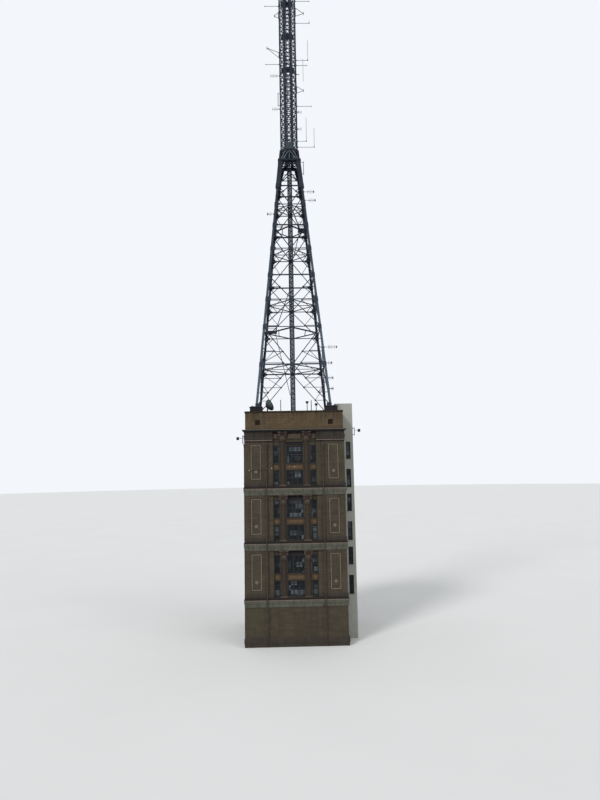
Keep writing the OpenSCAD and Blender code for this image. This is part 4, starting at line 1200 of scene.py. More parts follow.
def on_line(turn, p, q, out):
    """The middle of a line on a leaning side, turned along it, and the line's length."""
    along, middle = q - p, (p + q) / 2
    place = on_side(turn, middle.x, middle.y, out)
    return place @ turned(math.degrees(math.atan2(along.y, along.x))), along.length


def on_upper(turn, x, y, out=0.0):
    """A place on a side of the upper mast: x to the right, y up, z outwards."""
    return turned(turn) @ moved(x, -SIDE_NORMAL - out, UPPER_FOOT + y) @ turned(90, "X")


def side_bars():
    """Ends and width of every bar of one braced side, on the side's own drawing."""
    bars = []

    def tied(mid, end, ties, sign):
        apex, foot = Vector((0.0, up(mid))), near_leg(sign, end)
        bars.append((apex, foot, BRACE_W))
        for k in range(1, ties + 1):
            point = apex.lerp(foot, k / (ties + 1))
            for share in (k / (ties + 1), (k - 1) / (ties + 1)):
                bars.append((point, near_leg(sign, mid + (end - mid) * share), TIE_W))

    for sign in (-1, 1):
        for i, mid in enumerate(MID_LEVELS):
            for end in LEG_LEVELS[i:i + 2]:
                tied(mid, end, 1 if i else 2, sign)
        tied(LOW_BAR, LEG_LEVELS[4], 1, sign)
        bars.append((Vector((0.0, up(RING_LEVEL - 0.004))), near_leg(sign, LOW_BAR), BRACE_W))
    for level in MID_LEVELS + LEG_LEVELS[1:] + [LOW_BAR, HIGH_BAR]:
        width = RAIL_W if level in (MID_LEVELS[0], *LEG_LEVELS[2:]) else BRACE_W
        bars.append((near_leg(-1, level), near_leg(1, level), width))
    return bars


class MAST_OT_brace_flanges(bpy.types.Operator):
    """The standing legs of the steel angles that the braces and ties are made of."""

    bl_idname = "mast.brace_flanges"
    bl_label = "Brace angles"

    def execute(self, context):
        bm = bmesh.new()
        thick, shortest = 0.0022, 0.02
        for turn in ALL_SIDES:
            for start, end, width in side_bars():
                stand = width * 0.55
                out = 0.001 - BRACE_DEPTH - BRACE_T - stand / 2
                place, length = on_line(turn, start, end, out)
                length -= 2 * min(0.03, length * 0.25)
                if length >= shortest:
                    flange = place @ moved(0, width / 2 - 0.0012, 0)
                    box(bm, (length, thick, stand), flange, 0.0005)
        finish_piece(bm, "brace_angles", "bracing_paint")
        return {"FINISHED"}


class MAST_OT_joint_plates(bpy.types.Operator):
    """Bolted plates where the braces meet the legs and each other."""

    bl_idname = "mast.joint_plates"
    bl_label = "Joint plates"

    def execute(self, context):
        plates, bolts = bmesh.new(), bmesh.new()
        bolt = pattern(bolt_head, 0.0028, 0.003)
        for turn in ALL_SIDES:
            for mid in MID_LEVELS:
                place = on_side(turn, 0, up(mid), 0.0008 - BRACE_DEPTH)
                box(plates, (0.046, 0.044, 0.003), place, 0.0008)
                rows = (-0.017, -0.006, 0.006, 0.017), (-0.015, 0.0, 0.015)
                stamp_grid(bolts, bolt, place, *rows, 0.0014)
            for level in LEG_LEVELS[1:] + MID_LEVELS:
                out = COVER_T if level > COVER_LEVEL else 0.0
                for sign in (-1, 1):
                    place = on_side(turn, *near_leg(sign, level, 0.019), out + 0.001)
                    box(plates, (0.034, 0.054, 0.003), place, 0.0008)
                    rows = (0.009 * sign, -0.004 * sign), (-0.02, -0.007, 0.007, 0.02)
                    stamp_grid(bolts, bolt, place, *rows, 0.0014)
                    heel = on_side(turn, *near_leg(sign, level, 0.048), 0.0006 - BRACE_DEPTH)
                    box(plates, (0.028, 0.03, 0.0026), heel, 0.0008)
                    stamp_grid(bolts, bolt, heel, (-0.008, 0.008), (-0.01, 0.01), 0.0012)
        finish_piece(plates, "joint_plates", "bracing_paint")
        finish_piece(bolts, "joint_bolts", "bolt_metal")
        return {"FINISHED"}


class MAST_OT_leg_trim(bpy.types.Operator):
    """Edge angles behind the leg plates, and rows of bolts along them."""

    bl_idname = "mast.leg_trim"
    bl_label = "Leg trim"

    def execute(self, context):
        angles, bolts = bmesh.new(), bmesh.new()
        bolt = pattern(bolt_head, 0.0022, 0.0024)
        steps = int(RING_LEVEL / context.scene.mast_finish.bolt_gap)
        for turn in ALL_SIDES:
            for sign in (-1, 1):
                for low, high in zip(LEG_LEVELS, LEG_LEVELS[1:] + [RING_LEVEL - 0.01]):
                    p = Vector((sign * (half_at(low) - LEG_W + 0.002), up(low + 0.02)))
                    q = near_leg(sign, high, LEG_W - 0.002)
                    place, length = on_line(turn, p, q, -LEG_T - 0.0005)
                    box(angles, (length, 0.004, 0.011), place, 0.0008)
                for level in (RING_LEVEL * i / steps for i in range(1, steps)):
                    out = COVER_T if level > COVER_LEVEL else 0.0
                    for inset in (0.007, 0.02):
                        place = on_side(turn, *near_leg(sign, level, inset), out)
                        stamp(bolts, bolt, place)
        finish_piece(angles, "leg_edge_angles", "bracing_paint")
        finish_piece(bolts, "leg_bolts", "leg_paint")
        return {"FINISHED"}


class MAST_OT_mast_feet(bpy.types.Operator):
    """Base plates, stiffeners and holding-down bolts of the four feet, and caps of the blocks."""

    bl_idname = "mast.mast_feet"
    bl_label = "Mast feet"

    def execute(self, context):
        bm, caps = bmesh.new(), bmesh.new()
        nut = pattern(bolt_head, 0.006, 0.008)
        head_w, foot_w = BLOCK_W + 0.012, BLOCK_W + 0.006
        for turn in ALL_SIDES:
            corner = turned(turn) @ moved(-BLOCK_AT, -BLOCK_AT, FEET_Z)
            box(bm, (0.11, 0.11, 0.006), corner @ moved(0, 0, 0.0032), 0.0015)
            boxes(
                caps, corner, ((head_w, head_w, 0.012), (0, 0, -0.0062), 0.003),
                ((foot_w, foot_w, 0.016), (0, 0, 0.008 - BLOCK_H), 0.003),
            )
            stamp_grid(bm, nut, corner, (-0.042, 0.042), (-0.042, 0.042), 0.006)
            for angle, x, y in ((0, 0.02, -0.008), (90, -0.008, 0.02)):
                rib = corner @ moved(x, y, 0.024) @ turned(angle)
                box(bm, (0.052, 0.004, 0.036), rib, 0.001)
        finish_piece(bm, "foot_plates", "bracing_paint")
        finish_piece(caps, "block_caps", "block_paint")
        return {"FINISHED"}


class MAST_OT_upper_joints(bpy.types.Operator):
    """Node plates and bolts of the upper mast, and splice collars on its uprights."""

    bl_idname = "mast.upper_joints"
    bl_label = "Upper mast joints"

    def execute(self, context):
        bm, collars = bmesh.new(), bmesh.new()
        pitch = UPPER_RUN / UPPER_BAYS
        node_plate = pattern(eased_box, (0.015, 0.02, 0.002), 0.0005)
        cross_plate = pattern(eased_box, (0.0085, 0.0085, 0.002), 0.0005)
        batten = pattern(eased_box, (2 * SIDE_HALF - 0.0138, 0.0095, 0.002), 0.0005)
        bolt = pattern(bolt_head, 0.0014, 0.0016)
        collar = pattern(turned_shape, [
            (0.0, -0.014), (0.0094, -0.014), (0.0094, -0.009), (0.0089, -0.008),
            (0.0089, 0.008), (0.0094, 0.009), (0.0094, 0.014), (0.0, 0.014),
        ], 8)
        collar_rows = 6
        circle = (UPPER_W - UPRIGHT_W) / 2 / math.cos(math.radians(EIGHT_CORNER))
        for turn in EIGHT_SIDES:
            for i in range(UPPER_BAYS):
                if i:
                    for sign in (-1, 1):
                        place = on_upper(turn, sign * (SIDE_HALF - 0.0068), i * pitch, 0.0052)
                        stamp(bm, node_plate, place)
                        stamp_grid(bm, bolt, place, (0,), (0.004, -0.004), 0.0009)
                    stamp(bm, batten, on_upper(turn, 0, i * pitch, SIDE_FACE))
                cross = on_upper(turn, 0, (i + 0.5) * pitch, SIDE_FACE)
                for shape, out in ((batten, 0.0), (cross_plate, 0.0016), (bolt, 0.0024)):
                    stamp(bm, shape, cross @ moved(0, 0, out))
            for sign in (-1, 1):
                fin = on_upper(turn, sign * (SIDE_HALF - 0.003), UPPER_RUN / 2, SIDE_FACE)
                box(bm, (0.0075, UPPER_RUN - 0.004, 0.002), fin, 0.0005)
            for k in range(1, collar_rows + 1):
                z = UPPER_FOOT + UPPER_RUN * k / (collar_rows + 1)
                stamp(collars, collar, turned(EIGHT_CORNER + turn) @ moved(circle, 0, z))
        finish_piece(bm, "upper_joint_plates", "upper_paint")
        finish_piece(collars, "upright_collars", "upper_paint")
        return {"FINISHED"}


class MAST_OT_cables(bpy.types.Operator):
    """Feeder cables in the middle column and up the ladder of the upper mast, in their clips."""

    bl_idname = "mast.cables"
    bl_label = "Feeder cables"

    def execute(self, context):
        cables, clips = bmesh.new(), bmesh.new()
        count = context.scene.mast_finish.cables
        foot, bend = ROOF_Z + 0.02, UPPER_FOOT - 0.12
        low_y, high_y = 0.004, LADDER_Y + 0.0075
        radius, pitch, aside = 0.0021, 0.0048, -0.0195
        inner_ones, bend_steps, bend_h = 2.4, 6, 0.2
        ends = (DECK_SHARES[4], DECK_SHARES[3], DECK_SHARES[1])
        for i in range(count):
            from_middle = i - (count - 1) / 2
            x = from_middle * pitch
            points = [(x, low_y, foot), (x, low_y, bend - 0.06)]
            if abs(from_middle) > inner_ones:
                points.append((x, low_y, UPPER_FOOT - 0.04))
            else:
                for share in (k / bend_steps for k in range(bend_steps + 1)):
                    ease = share * share * (3 - 2 * share)
                    y = low_y + (high_y - low_y) * ease
                    points.append((x + aside * ease, y, bend + bend_h * share))
                top = UPPER_FOOT + UPPER_RUN * ends[i % 3]
                points += [(x + aside, high_y, top - 0.05), (x + aside, high_y + 0.012, top)]
            tube(cables, points, radius, 7)
        for size, x, y, low, high, gap in (
            ((0.038, 0.0026, 0.0045), 0, 0.001, foot + 0.04, bend - 0.06, 0.062),
            (
                (0.0235, 0.0024, 0.004), aside, high_y - 0.003, UPPER_FOOT + 0.14,
                UPPER_FOOT + UPPER_RUN * DECK_SHARES[4], 0.06,
            ),
        ):
            clip = pattern(eased_box, size, 0.0006)
            for k in range(int((high - low) / gap)):
                stamp(clips, clip, moved(x, y, low + k * gap))
        finish_piece(cables, "feeder_cables", "cable_sheath")
        finish_piece(clips, "cable_clips", "bracing_paint")
        return {"FINISHED"}


class MAST_OT_plan_gussets(bpy.types.Operator):
    """Joints and flanges of the level diamonds, and the two diamonds at the rest platforms."""

    bl_idname = "mast.plan_gussets"
    bl_label = "Level bracing joints"

    def execute(self, context):
        bm, rests = bmesh.new(), bmesh.new()
        bolt = pattern(bolt_head, 0.0024, 0.0026)
        outer = pattern(eased_box, (0.032, 0.034, 0.0024), 0.0006)
        inner = pattern(eased_box, (0.018, 0.022, 0.0024), 0.0006)
        rows = (-0.01, 0.01), (-0.011, 0.011)
        flange_t, flange_in, shorter = 0.0022, 0.0012, 0.05
        for level in MID_LEVELS:
            reach = half_at(level + BRACE_T / 2) - BARS_IN
            z = FEET_Z + level + BRACE_T / 2 + 0.0009
            for turn in ALL_SIDES:
                place = turned(turn) @ moved(reach - 0.019, 0, z)
                stamp(bm, outer, place)
                stamp_grid(bm, bolt, place, *rows, 0.001)
                stamp(bm, inner, turned(turn) @ moved(COLUMN_W / 2 + 0.011, 0, z))
                slant = turned(turn) @ moved(reach / 2, reach / 2, FEET_Z + level) @ turned(-45)
                flange = slant @ moved(0, flange_in - BRACE_W / 2, -BRACE_T / 2 - 0.002)
                box(bm, (reach * math.sqrt(2) - shorter, flange_t, 0.005), flange, 0.0005)
        for level, *_ in RESTS:
            reach = half_at(level) - BARS_IN - REST_BAR_W / 2
            length, z = reach * math.sqrt(2), FEET_Z + level - 0.0036
            for turn in ALL_SIDES:
                drop = 0.0004 if turn % 180 else 0.0
                slant = turned(turn) @ moved(reach / 2, reach / 2, z - drop) @ turned(-45)
                boxes(
                    rests, slant, ((length, REST_BAR_W, BRACE_T), (0, 0, 0), 0.0008), (
                        (length - shorter, flange_t, 0.009),
                        (0, flange_in - REST_BAR_W / 2, -0.0065), 0.0005,
                    ),
                )
                place = turned(turn) @ moved(reach - 0.011, 0, z - BRACE_T / 2 - 0.0013)
                stamp(rests, outer, place)
                stamp_grid(rests, bolt, place @ turned(180, "X"), *rows, 0.001)
            for side in (-1, 1):
                tie = moved(side * reach / 2, 0, z - 0.0012)
                box(rests, (BRACE_W, reach - 0.012, BRACE_T), tie, 0.0008)
        finish_piece(bm, "level_bracing_joints", "bracing_paint")
        finish_piece(rests, "rest_level_bracing", "bracing_paint")
        return {"FINISHED"}


class MAST_OT_rest_decks(bpy.types.Operator):
    """Grating, toe boards and rail caps of the two rest platforms."""

    bl_idname = "mast.rest_decks"
    bl_label = "Rest platform trim"

    def execute(self, context):
        bm = bmesh.new()
        cap = pattern(eased_box, (0.0062, 0.0062, 0.003), 0.0008)
        for level, width, depth, side, rail_h in RESTS:
            outer = half_at(level + DECK_T) - BARS_IN
            z = FEET_Z + level + DECK_T
            bars = int(width / 0.0075)
            for i in range(bars):
                x = side * (outer - width + 0.004 + i * (width - 0.008) / (bars - 1))
                box(bm, (0.0015, depth - 0.012, 0.0018), moved(x, 0, z + 0.0006), 0.0003)
            for end in (-1, 1):
                board = moved(side * (outer - width / 2), end * (depth / 2 - 0.0052), z + 0.006)
                box(bm, (width - 0.012, 0.0016, 0.012), board, 0.0004)
                x, y = side * (outer - width + 0.002), end * (depth / 2 - 0.002)
                stamp(bm, cap, moved(x, y, z + rail_h))
        finish_piece(bm, "rest_platform_trim", "bracing_paint")
        return {"FINISHED"}


def straight_ring(bm, sides, out, section, z):
    """A ring of straight sides: how far out they stand, and its section inwards and upwards."""
    widen = 1 / math.cos(math.pi / sides)
    outline = [((out - inwards) * widen, rise) for inwards, rise in section]
    stamp(bm, pattern(turned_shape, outline, sides), moved(0, 0, z) @ turned(180 / sides))


class MAST_OT_open_neck(bpy.types.Operator):
    """The neck's ring, corner angles, head frame, collar and deck, open between its struts."""

    bl_idname = "mast.open_neck"
    bl_label = "Neck frame"

    def execute(self, context):
        bm = bmesh.new()
        ring_z = FEET_Z + RING_LEVEL + 0.0003
        collar_z = FEET_Z + TAPER_H - COLLAR_H
        foot, head = RING_LEVEL + RING_T, TAPER_H - COLLAR_H
        plate, flange = 0.004, 0.005
        deck_r, deck_t = 0.1035, 0.004
        straight_ring(bm, 4, RING_OUT, (
            (0.03, 0.0), (0.0, 0.0), (0.0, RING_T), (0.05, RING_T), (0.05, RING_T - plate),
            (flange, RING_T - plate), (flange, plate), (0.03, plate), (0.03, 0.0),
        ), ring_z)
        straight_ring(bm, 4, half_at(head) + 0.001, (
            (0.006, 0.0), (0.0, 0.0), (0.0, 0.026), (0.006, 0.026), (0.006, 0.0),
        ), collar_z - 0.0262)
        straight_ring(bm, 8, UPPER_W / 2 + 0.0003, (
            (0.0, 0.0), (-0.006, 0.0), (-0.006, COLLAR_H), (0.0, COLLAR_H), (0.0, 0.0),
        ), collar_z)
        rise, laces, lace_w = collar_z - 0.006 - ring_z, 3, 0.04
        for turn in ALL_SIDES:
            side = turned(turn)
            for sign in (-1, 1):
                p, q = (near_leg(sign, level, CORNER_W / 2) for level in (foot, head))
                place, length = on_line(turn, p, q, 0.0018)
                box(bm, (length, CORNER_W, 0.0036), place, 0.0008)
            beam_z = ring_z + (0.009 if turn % 180 else 0.0096)
            beam = side @ moved(0, -COLUMN_W / 2 - 0.0025, beam_z)
            box(bm, (2 * RING_OUT - 0.012, 0.004, 0.014), beam, 0.0008)
            post = side @ moved(0.023, -0.023, ring_z + rise / 2)
            box(bm, (0.012, 0.012, rise), post, 0.0012)
            for k in range(laces):
                lace = side @ moved(0, -0.026, ring_z + rise * (k + 0.5) / laces)
                slant = math.degrees(math.atan2(rise / laces, lace_w)) * (1 if k % 2 else -1)
                size = (math.hypot(lace_w, rise / laces), 0.004, 0.006)
                box(bm, size, lace @ turned(slant, "Y"), 0.0008)
        start = len(bm.verts)
        deck_place = moved(0, 0, collar_z - deck_t) @ turned(EIGHT_CORNER)
        drum(bm, deck_r, deck_r, deck_t, deck_place, 8)
        bm.verts.ensure_lookup_table()
        deck = bm.verts[start:]
        faces = {face for vert in deck for face in vert.link_faces}
        edges = {edge for vert in deck for edge in vert.link_edges}
        cut = bmesh.ops.bisect_plane(
            bm, geom=[*deck, *edges, *faces], plane_co=(0, LADDER_Y + 0.02, 0),
            plane_no=(0, -1, 0), clear_outer=True,
        )["geom_cut"]
        rim = [part for part in cut if isinstance(part, bmesh.types.BMEdge)]
        bmesh.ops.contextual_create(bm, geom=rim)
        # The neck frame's near-black finish is painted shade.
        piece = finish_piece(bm, "open_neck_frame", "neck_shade_paint")
        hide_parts("neck_frame")
        return {"FINISHED"}


class MAST_OT_neck_struts(bpy.types.Operator):
    """Fanned struts and centre plates on the faces of the neck, and the bolts of its rings."""

    bl_idname = "mast.neck_struts"
    bl_label = "Neck struts"

    def execute(self, context):
        struts, plates, bolts = bmesh.new(), bmesh.new(), bmesh.new()
        bolt = pattern(bolt_head, 0.0026, 0.0028)
        small = pattern(bolt_head, 0.0017, 0.0018)
        foot_level = RING_LEVEL + RING_T
        pairs = ((0.088, 0.004, 0.114), (0.104, 0.046, 0.118), (0.06, 0.052, 0.05))
        fan = [(0.0, 0.0, 0.088)]
        fan += [(sign * low, sign * high, rise) for low, high, rise in pairs for sign in (-1, 1)]
        for turn in ALL_SIDES:
            for low, high, rise in fan:
                p = Vector((low, up(foot_level)))
                q = Vector((high, up(foot_level + rise)))
                place, length = on_line(turn, p, q, 0.001)
                boxes(
                    struts, place, ((length, 0.0066, 0.0026), (0, 0, 0), 0.0006),
                    ((length, 0.0014, 0.0052), (0, 0.0026, 0.0016), 0.0004),
                )
            if turn in (0, 180):
                plate_z = FEET_Z + TAPER_H + 0.033
                place = turned(turn) @ moved(0, -UPPER_W / 2 - 0.0072, plate_z)
                box(plates, (2 * NECK_SPREAD - 0.004, 0.003, 0.086), place, 0.0008)
                rows = (-0.038, -0.013, 0.013, 0.038), (-0.037, -0.012, 0.012, 0.037)
                stamp_grid(bolts, small, place @ turned(90, "X"), *rows, 0.0014)
            ring = turned(turn) @ moved(0, -RING_OUT, FEET_Z + RING_LEVEL + RING_T / 2)
            spots = [i * 0.0235 for i in range(-5, 6)]
            stamp_grid(bolts, bolt, ring @ turned(90, "X"), spots, (0,), 0)
        for turn in EIGHT_SIDES:
            face = turned(turn) @ moved(0, -UPPER_W / 2 - 0.0062, FEET_Z + TAPER_H - 0.015)
            stamp_grid(bolts, small, face @ turned(90, "X"), (-0.028, 0.0, 0.028), (0,), 0)
        # The struts' pale finish is painted light.
        finish_piece(struts, "neck_struts", "neck_strut_lit_paint")
        finish_piece(plates, "neck_centre_plates", "neck_plate_paint")
        finish_piece(bolts, "neck_bolts", "bolt_metal")
        return {"FINISHED"}


class MAST_OT_deck_trim(bpy.types.Operator):
    """Toe boards, grating and junction boxes on the decks of the upper mast."""

    bl_idname = "mast.deck_trim"
    bl_label = "Upper deck trim"

    def execute(self, context):
        bm = bmesh.new()
        depth = 2 * ARM_Y - BRACE_T
        bars = 18
        for i, share in enumerate(DECK_SHARES):
            deck = moved(0, 0, UPPER_FOOT + share * UPPER_RUN + DECK_T)
            for side in (-1, 1):
                board = deck @ moved(0, side * (depth / 2 - 0.001), 0.0058)
                box(bm, (DECK_W, 0.0016, 0.012), board, 0.0004)
            for k in range(bars):
                x = (k / (bars - 1) - 0.5) * (DECK_W - 0.008)
                box(bm, (0.0014, depth - 0.006, 0.0016), deck @ moved(x, 0, 0.0006), 0.0003)
            if not 0 < i < len(DECK_SHARES) - 1:
                continue
            for x, wide, tall in ((0.03, 0.034, 0.044), (-0.006, 0.024, 0.03)):
                boxes(
                    bm, deck @ moved(x, -0.018, tall / 2 + 0.001),
                    ((wide, 0.022, tall), (0, 0, 0), 0.0016),
                    ((wide - 0.005, 0.002, tall - 0.006), (0, -0.0115, 0), 0.0008),
                )
                drum(bm, 0.003, 0.003, 0.012, deck @ moved(x, -0.018, tall + 0.006), 8)
        finish_piece(bm, "upper_deck_trim", "upper_paint")
        return {"FINISHED"}


class MAST_OT_aerial_fittings(bpy.types.Operator):
    """Clamps at the roots of the arms, feed boxes at their ends, and the sockets of the whips."""

    bl_idname = "mast.aerial_fittings"
    bl_label = "Aerial fittings"

    def execute(self, context):
        bm = bmesh.new()
        clamp = pattern(eased_box, (0.007, 0.0095, 0.0135), 0.0012)
        feed = pattern(eased_box, (0.0095, 0.0085, 0.0095), 0.0014)
        socket = pattern(turned_shape, [
            (0.0, 0.0), (0.0048, 0.0), (0.0048, 0.003), (0.0032, 0.0045), (0.0046, 0.006),
            (0.0032, 0.0075), (0.0044, 0.009), (0.003, 0.0105), (0.0034, 0.015), (0.0, 0.015),
        ], 10)
        root = ARM_X + 0.0042

        def on_mast(x, share, rise=0.0):
            return moved(x, -ARM_Y, UPPER_FOOT + share * UPPER_RUN + rise)

        for share, reach, side, whip in ARMS:
            stamp(bm, clamp, on_mast(side * root, share))
            stamp(bm, feed, on_mast(side * (reach - 0.0048), share, -0.0005))
            if whip:
                stamp(bm, socket, on_mast(side * (reach - WHIP_R), share, ARM_R))
        for side, reach, share in STRUT_TIPS:
            stamp(bm, feed, on_mast(side * (reach - 0.003), share))
        for share, side, length in UPPER_COMBS:
            stamp(bm, clamp, on_mast(side * root, share))
            stamp(bm, feed, on_mast(side * (ARM_X + length * 0.24), share))
        for share, side, length in LOWER_COMBS:
            half = half_at(share * TAPER_H)
            edge = moved(side * half, LEG_W / 2 - half, FEET_Z + share * TAPER_H)
            stamp(bm, clamp, edge @ moved(side * 0.0045, 0, 0))
            box(bm, (0.014, 0.012, 0.019), edge @ moved(side * (length - 0.006), 0, 0), 0.002)
            stamp(bm, feed, edge @ moved(side * length * 0.4, 0, 0))
        finish_piece(bm, "aerial_fittings", "aerial_paint")
        return {"FINISHED"}


class MAST_OT_dish_parts(bpy.types.Operator):
    """Rim, ribs, feed horn and yoke of the roof dish."""

    bl_idname = "mast.dish_parts"
    bl_label = "Dish parts"

    def execute(self, context):
        bm = bmesh.new()
        radius = 0.063
        foot = moved(-FOOT_HALF + BLOCK_W, -FOOT_HALF + 0.01, ROOF_Z + 0.0003 + BLOCK_H + 0.01)
        dish = foot @ turned(23) @ turned(64, "Y")
        inner, outer, low, high = radius - 0.0035, radius + 0.0016, radius * 0.5, radius * 0.64
        stamp(bm, pattern(turned_shape, [
            (inner, low), (outer, low), (outer, high), (inner, high), (inner, low),
        ], 40), dish)
        stamp(bm, pattern(turned_shape, [
            (0.0, 0.008), (0.0026, 0.008), (0.0026, 0.046), (0.0075, 0.05), (0.0075, 0.058),
            (0.0, 0.06),
        ], 14), dish)
        for angle in range(0, 360, 30):
            rib = dish @ turned(angle)
            for length, x, z, slope in ((0.03, 0.03, -0.0025, -17), (0.021, 0.0515, 0.0125, -41)):
                place = rib @ moved(x, 0, z) @ turned(slope, "Y")
                box(bm, (length, 0.0022, 0.0034), place)
        for angle in range(30, 360, 120):
            stay = dish @ turned(angle)
            ends = (0.057, 0, 0.034), (0.005, 0, 0.053)
            tube(bm, [stay @ Vector(end) for end in ends], 0.0012, 6)
        box(bm, (0.024, 0.024, 0.014), dish @ moved(0, 0, -0.012), 0.002)
        finish_piece(bm, "dish_parts", "aerial_paint")
        return {"FINISHED"}


class MAST_OT_lamp_parts(bpy.types.Operator):
    """Lenses, hoods and brackets of the lamps on the roof, on the walls and on their arms."""

    bl_idname = "mast.lamp_parts"
    bl_label = "Lamps"

    def execute(self, context):
        metal, lenses = bmesh.new(), bmesh.new()
        arm, arm_rise = 0.0732, 0.07
        plate, plate_out = (0.004, 0.016, 0.016), 0.0022
        for x, height, lamp in ROOF_POSTS:
            foot = moved(x, -HALF + PARAPET_T * 2.6, ROOF_Z)
            box(metal, (0.03, 0.03, 0.004), foot @ moved(0, 0, 0.0024), 0.001)
            if lamp:
                boxes(
                    metal, foot @ moved(0, 0, height + 0.008),
                    ((0.031, 0.006, 0.021), (0, 0.0105, 0), 0.001),
                    ((0.024, 0.0022, 0.014), (0, -0.0095, 0), 0.0008),
                    ((0.031, 0.012, 0.0018), (0, -0.0135, 0.0105), 0.0006),
                )
            else:
                for share in (0.35, 0.57, 0.79):
                    box(metal, (0.011, 0.011, 0.006), foot @ moved(0, 0, height * share), 0.0014)
        for x, y, z, side in (
            (HALF + BAY_OUT, -BAY_W / 2 + 0.018, CORNICE_Z - 0.028, 1),
            (HALF, -HALF + 0.036, BAND_Z - 0.0112, -1),
        ):
            boxes(
                metal, moved(side * x, y, z),
                ((0.0278, 0.0195, 0.004), (side * arm, 0, 0.0599), 0.001),
                ((0.022, 0.013, 0.002), (side * arm, 0, 0.0309), 0.0008),
                (plate, (side * plate_out, 0, 0), 0.001),
                (plate, (side * plate_out, 0, arm_rise), 0.001),
            )
        bulb = pattern(turned_shape, [
            (0.0, 0.0075), (0.0035, 0.007), (0.0062, 0.0048), (0.0068, 0.002), (0.0, 0.002),
        ], 16)
        base = pattern(turned_shape, [
            (0.0, 0.0), (0.0088, 0.0), (0.0088, 0.0022), (0.0072, 0.0036), (0.0, 0.0036),
        ], 16)
        for x, z, out in WALL_LAMPS:
            spot = on_face(0, x, z, out) @ turned(90, "X")
            stamp(metal, base, spot)
            stamp(lenses, bulb, spot)
        for run in (((-0.48, 1.82), (-0.3, 1.82)), ((-0.3, 1.82), (-0.3, 1.66))):
            tube(metal, [(x, -HALF - 0.0012, z) for x, z in run], 0.0014, 6)
        finish_piece(metal, "lamp_metal", "aerial_paint")
        finish_piece(lenses, "lamp_lenses", "lamp_glass")
        return {"FINISHED"}


# Stage


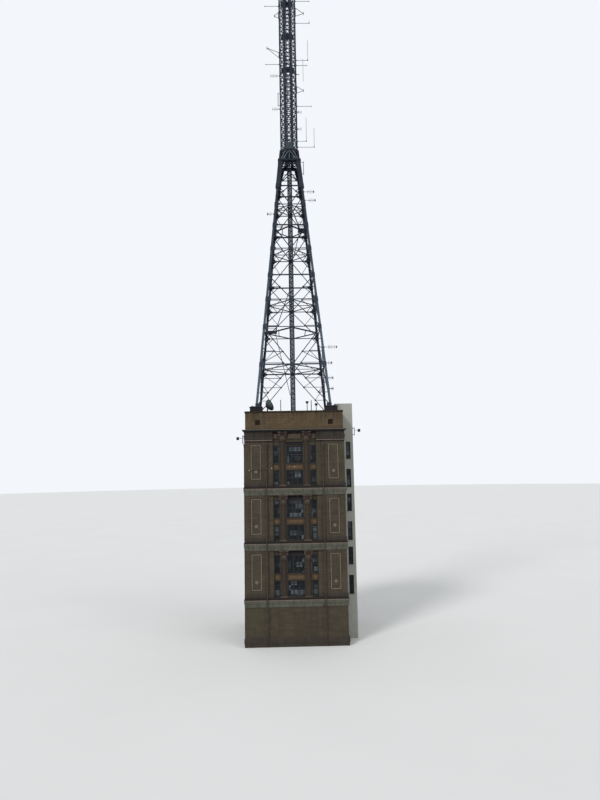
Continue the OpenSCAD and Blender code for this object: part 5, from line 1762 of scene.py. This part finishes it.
class MAST_OT_stage(bpy.types.Operator):
    """Pale floor, soft studio light and a camera at the photograph's viewing angle."""

    bl_idname = "mast.stage"
    bl_label = "Stage and camera"

    def execute(self, context):
        scene = context.scene
        floor_finish("stage_floor")
        bm = bmesh.new()
        bmesh.ops.create_circle(
            bm, cap_ends=True, segments=96, radius=60.0, matrix=moved(0, 0, -0.001),
        )
        mesh = bpy.data.meshes.new("stage_floor")
        bm.to_mesh(mesh)
        bm.free()
        mesh.materials.append(FINISHES["stage_floor"])
        floor = bpy.data.objects.new("stage_floor", mesh)
        scene.collection.objects.link(floor)

        world = bpy.data.worlds.new("soft_studio")
        scene.world = world
        world.use_nodes = True
        tree = world.node_tree
        tree.nodes.clear()
        path = add(tree, "ShaderNodeLightPath").outputs
        seen = path["Is Camera Ray"]
        for ray in ("Is Glossy Ray", "Is Transmission Ray"):
            either = add(tree, "ShaderNodeMath", {0: seen, 1: path[ray]}, operation="MAXIMUM")
            seen = either.outputs[0]
        light, pale = (
            add(tree, "ShaderNodeBackground", {"Color": colour, "Strength": power}).outputs[0]
            for colour, power in (((0.93, 0.96, 1.0, 1.0), 0.62), ((0.9, 0.93, 0.97, 1.0), 1.0))
        )
        both = add(tree, "ShaderNodeMixShader", {0: seen, 1: light, 2: pale})
        add(tree, "ShaderNodeOutputWorld", {"Surface": both.outputs[0]})

        for name, energy, angle, turn in (
            ("key_light", 1.5, 14.0, (52.0, 0.0, -38.0)),
            ("fill_light", 0.5, 40.0, (64.0, 0.0, 48.0)),
        ):
            lamp = bpy.data.lights.new(name, "SUN")
            lamp.energy = energy
            lamp.angle = math.radians(angle)
            holder = bpy.data.objects.new(name, lamp)
            holder.rotation_euler = [math.radians(part) for part in turn]
            scene.collection.objects.link(holder)

        lens = bpy.data.cameras.new("photo_camera")
        lens.sensor_fit = "AUTO"
        lens.sensor_width = 36.0
        lens.lens = CAMERA_LENS
        lens.clip_end = 200.0
        camera = bpy.data.objects.new("photo_camera", lens)
        camera.matrix_world = (
            moved(*CAMERA_AT) @ turned(CAMERA_PAN) @ turned(90 + CAMERA_TILT, "X")
            @ turned(CAMERA_ROLL)
        )
        scene.collection.objects.link(camera)
        scene.camera = camera
        scene.view_settings.view_transform = "Standard"
        return {"FINISHED"}


OPERATORS = (
    MAST_OT_dress_frame,
    MAST_OT_pier_panels,
    MAST_OT_window_sills,
    MAST_OT_window_heads,
    MAST_OT_spandrels,
    MAST_OT_glazing_bars,
    MAST_OT_capitals,
    MAST_OT_frieze_fields,
    MAST_OT_ledge_fillets,
    MAST_OT_parapet_trim,
    MAST_OT_rain_pipes,
    MAST_OT_bay_trim,
    MAST_OT_roof_covering,
    MAST_OT_brace_flanges,
    MAST_OT_joint_plates,
    MAST_OT_leg_trim,
    MAST_OT_mast_feet,
    MAST_OT_upper_joints,
    MAST_OT_cables,
    MAST_OT_plan_gussets,
    MAST_OT_rest_decks,
    MAST_OT_open_neck,
    MAST_OT_neck_struts,
    MAST_OT_deck_trim,
    MAST_OT_aerial_fittings,
    MAST_OT_dish_parts,
    MAST_OT_lamp_parts,
    MAST_OT_stage,
)


class MAST_PT_panel(bpy.types.Panel):
    """Lists the steps that dress the mast, with its colours and sizes."""

    bl_idname = "MAST_PT_panel"
    bl_label = "Radio mast"
    bl_space_type = "VIEW_3D"
    bl_region_type = "UI"
    bl_category = "Radio mast"

    def draw(self, context):
        layout = self.layout
        for group in (context.scene.tower_finish, context.scene.mast_finish):
            column = layout.column()
            for name in group.__annotations__:
                column.prop(group, name)
        for operator in OPERATORS:
            layout.operator(operator.bl_idname)


CLASSES = (TowerFinish, MastFinish, *OPERATORS, MAST_PT_panel)


def register():
    for each in CLASSES:
        bpy.utils.register_class(each)
    bpy.types.Scene.tower_finish = PointerProperty(type=TowerFinish)
    bpy.types.Scene.mast_finish = PointerProperty(type=MastFinish)


def unregister():
    del bpy.types.Scene.mast_finish
    del bpy.types.Scene.tower_finish
    for each in reversed(CLASSES):
        bpy.utils.unregister_class(each)


def main():
    """Dresses the mast step by step."""
    register()
    for operator in OPERATORS:
        family, name = operator.bl_idname.split(".")
        getattr(getattr(bpy.ops, family), name)()


if __name__ == "__main__":
    main()
